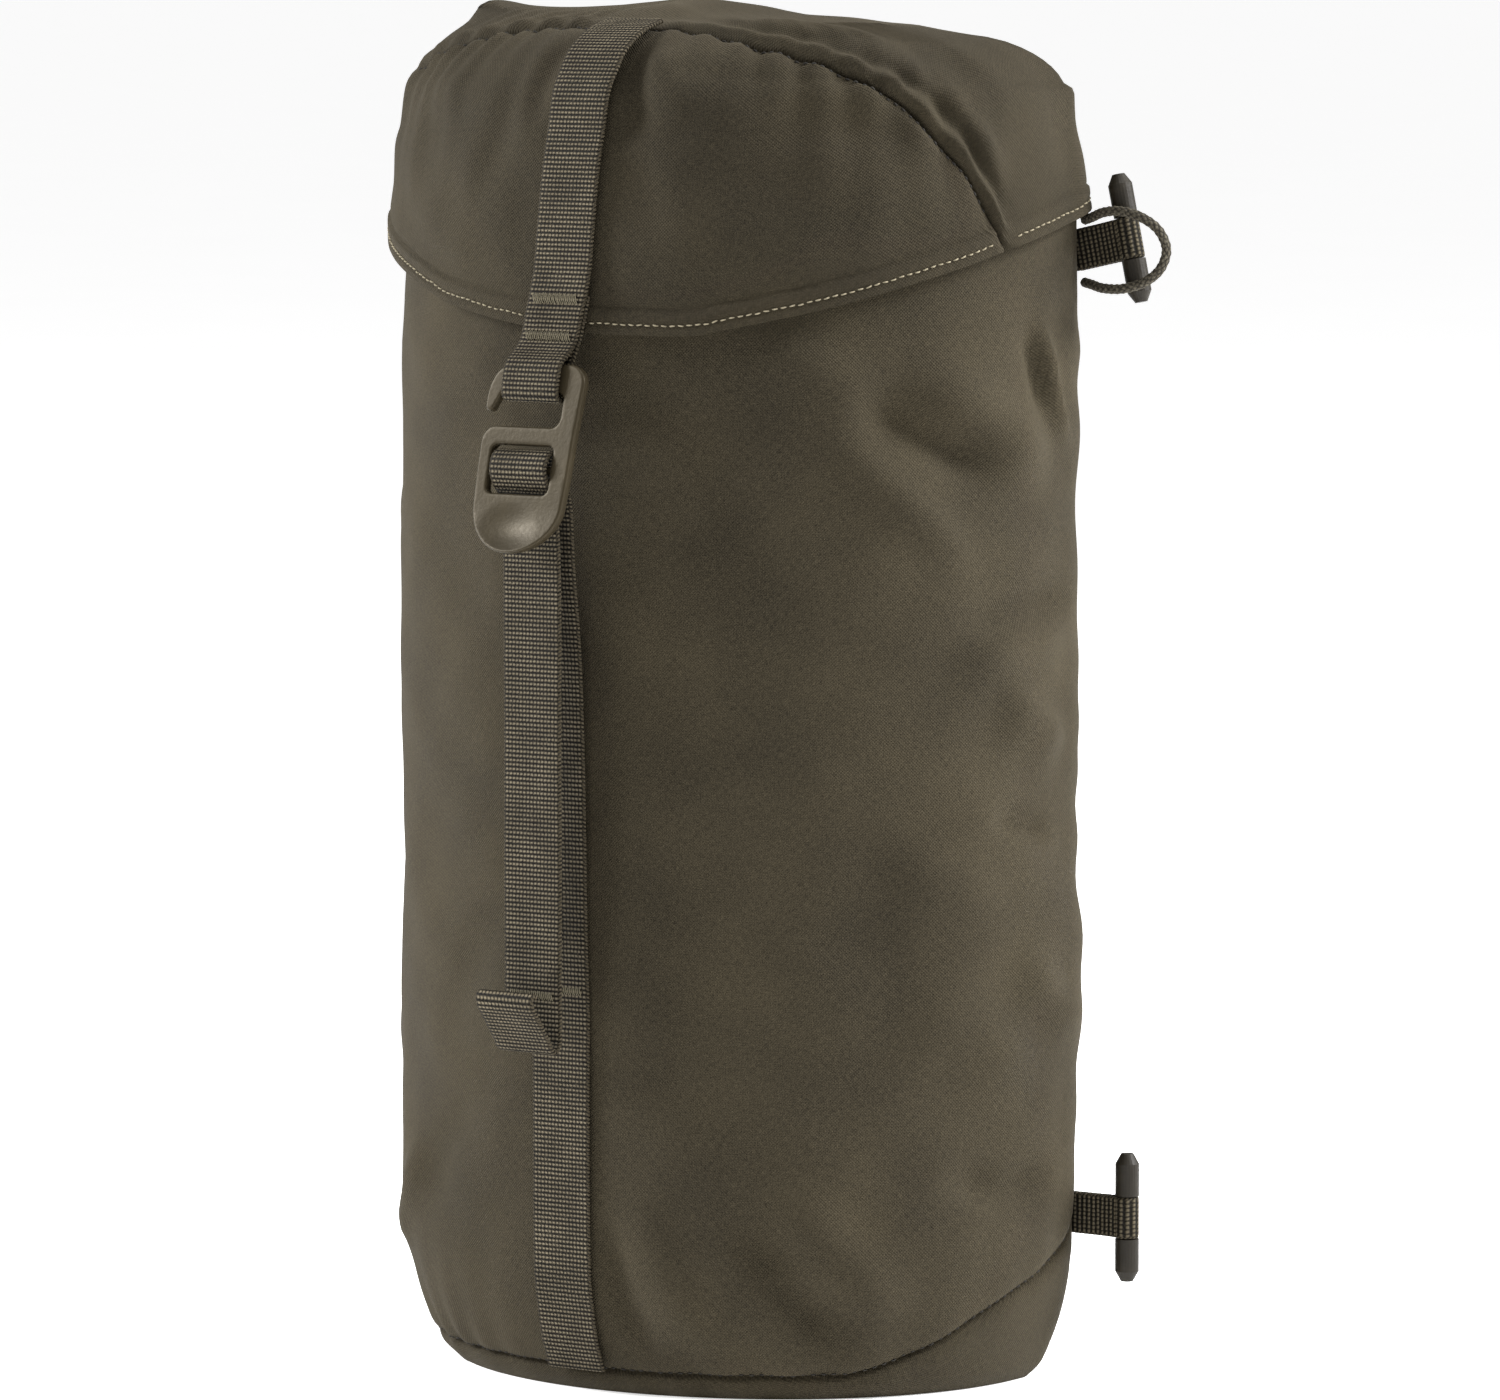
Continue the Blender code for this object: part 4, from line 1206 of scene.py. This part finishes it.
turned_bar = Matrix.Translation((-0.0006, BAR_DEPTH, 0)) @ Matrix.Rotation(math.pi / 2, 4, "Y")
bmesh.ops.transform(bm, matrix=turned_bar, verts=bar["verts"])
for vert in bar["verts"]:
    for face in vert.link_faces:
        face.smooth = len(face.verts) == 4
hook_mesh = bpy.data.meshes.new("hook_plate")
bm.to_mesh(hook_mesh)
bm.free()
bpy.data.objects.remove(plate)
bpy.data.objects.remove(slot_cutter)
hook_mesh.materials.append(coating.material)
hook = bpy.data.objects.new("hook_plate", hook_mesh)
hook.matrix_world = Matrix.Translation((0, HOOK_Y, HOOK_Z)) @ Matrix.Rotation(-HOOK_TILT, 4, "X")
scene.collection.objects.link(hook)
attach(hook, "hook")
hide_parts("g_hook")


# ---- Eyelets
# Pressed brass eyelets, blackened, one each side of the middle of the mouth's channel.

def refinish(nodes, finish):
    """A moulded or cast part keeps its shape and gets its own finish."""
    for name in nodes:
        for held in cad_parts[name].material_slots:
            held.material = finish.material


brass = Finish("blackened_brass", {"Metallic": 0.9, "Roughness": 0.4})
place = brass.solid_place()
tarnish = brass.noise(place, 700.0, 3.0)
brass.wire(brass.shader, {"Base Color": brass.blend(tarnish, (0.06, 0.052, 0.040, 1),
                                                    (0.16, 0.14, 0.10, 1))})
brass.wire(brass.shader, {"Roughness": 0.32 + tarnish * 0.25})
refinish(["eyelet_left", "eyelet_right"], brass)


# ---- Tabs and toggles
# At each end of both side seams a narrow webbing tab holds a moulded toggle at its waist. The
# toggle goes through a loop on the rucksack and turns to lock.

TAB_W = 0.012
TOGGLE_R = 0.0035
TOGGLE_ARM = 0.0167
TAB_PIVOT_X = 0.1023
TAB_LEVELS = (("upper", 0.329, math.radians(12.5)), ("lower", 0.048, 0.0))
TAB_RIB = 0.0016
tab_finish = webbing_finish("tab_webbing", (0.0040, 0.0032, 0.0020, 1), (0.070, 0.058, 0.037, 1),
                            (0.135, 0.114, 0.075, 1), TAB_W, TAB_RIB)
nylon = Finish("toggle_nylon", {"Roughness": 0.5, "Specular IOR Level": 0.22})
place = nylon.solid_place()
spark = nylon.noise(place, 1400.0, 2.0)
scuff = nylon.ramp(nylon.noise(place, 160.0, 3.0), 0.5, 0.8)
nylon.wire(nylon.shader, {"Base Color": nylon.blend(scuff, (0.013, 0.0103, 0.0062, 1),
                                                    (0.024, 0.0200, 0.0130, 1))})
nylon.wire(nylon.shader, {"Roughness": 0.42 + spark * 0.22})
nylon.relief(spark, 0.00008)


def tab_path():
    """Out from the seam, round the toggle's waist and back, seen from above."""
    wrap_r = TOGGLE_R - WEB / 2
    layer = (WEB + 0.0004) / 2
    start = math.degrees(math.asin(layer / wrap_r))
    line = [(-0.0022, layer * 0.8), (0.0010, layer), (0.0080, layer)]
    for i in range(17):
        t = math.radians(180 - start - 18 - i * (360 - 2 * start - 36) / 16)
        line.append((TOGGLE_ARM + wrap_r * math.cos(t), wrap_r * math.sin(t)))
    return line + [(0.0080, -layer), (0.0010, -layer), (-0.0022, -layer * 0.8)]


for side, sign in (("left", -1), ("right", 1)):
    for level, z, tilt in TAB_LEVELS:
        pivot = Vector((sign * TAB_PIVOT_X, SEAM_Y, z))
        outward_axis = np.array([sign * math.cos(tilt), 0, math.sin(tilt)])
        upward_axis = (-sign * math.sin(tilt), 0, math.cos(tilt))
        path = [np.array(pivot) + outward_axis * x + np.array([0, sign * y, 0])
                for x, y in tab_path()]
        tab = webbing(f"tab_webbing_{level}_{side}", path, upward_axis, tab_finish, TAB_W, TAB_RIB)
        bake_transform(tab)
        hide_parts(f"tab_{level}_{side}")
        refinish([f"toggle_{level}_{side}"], nylon)
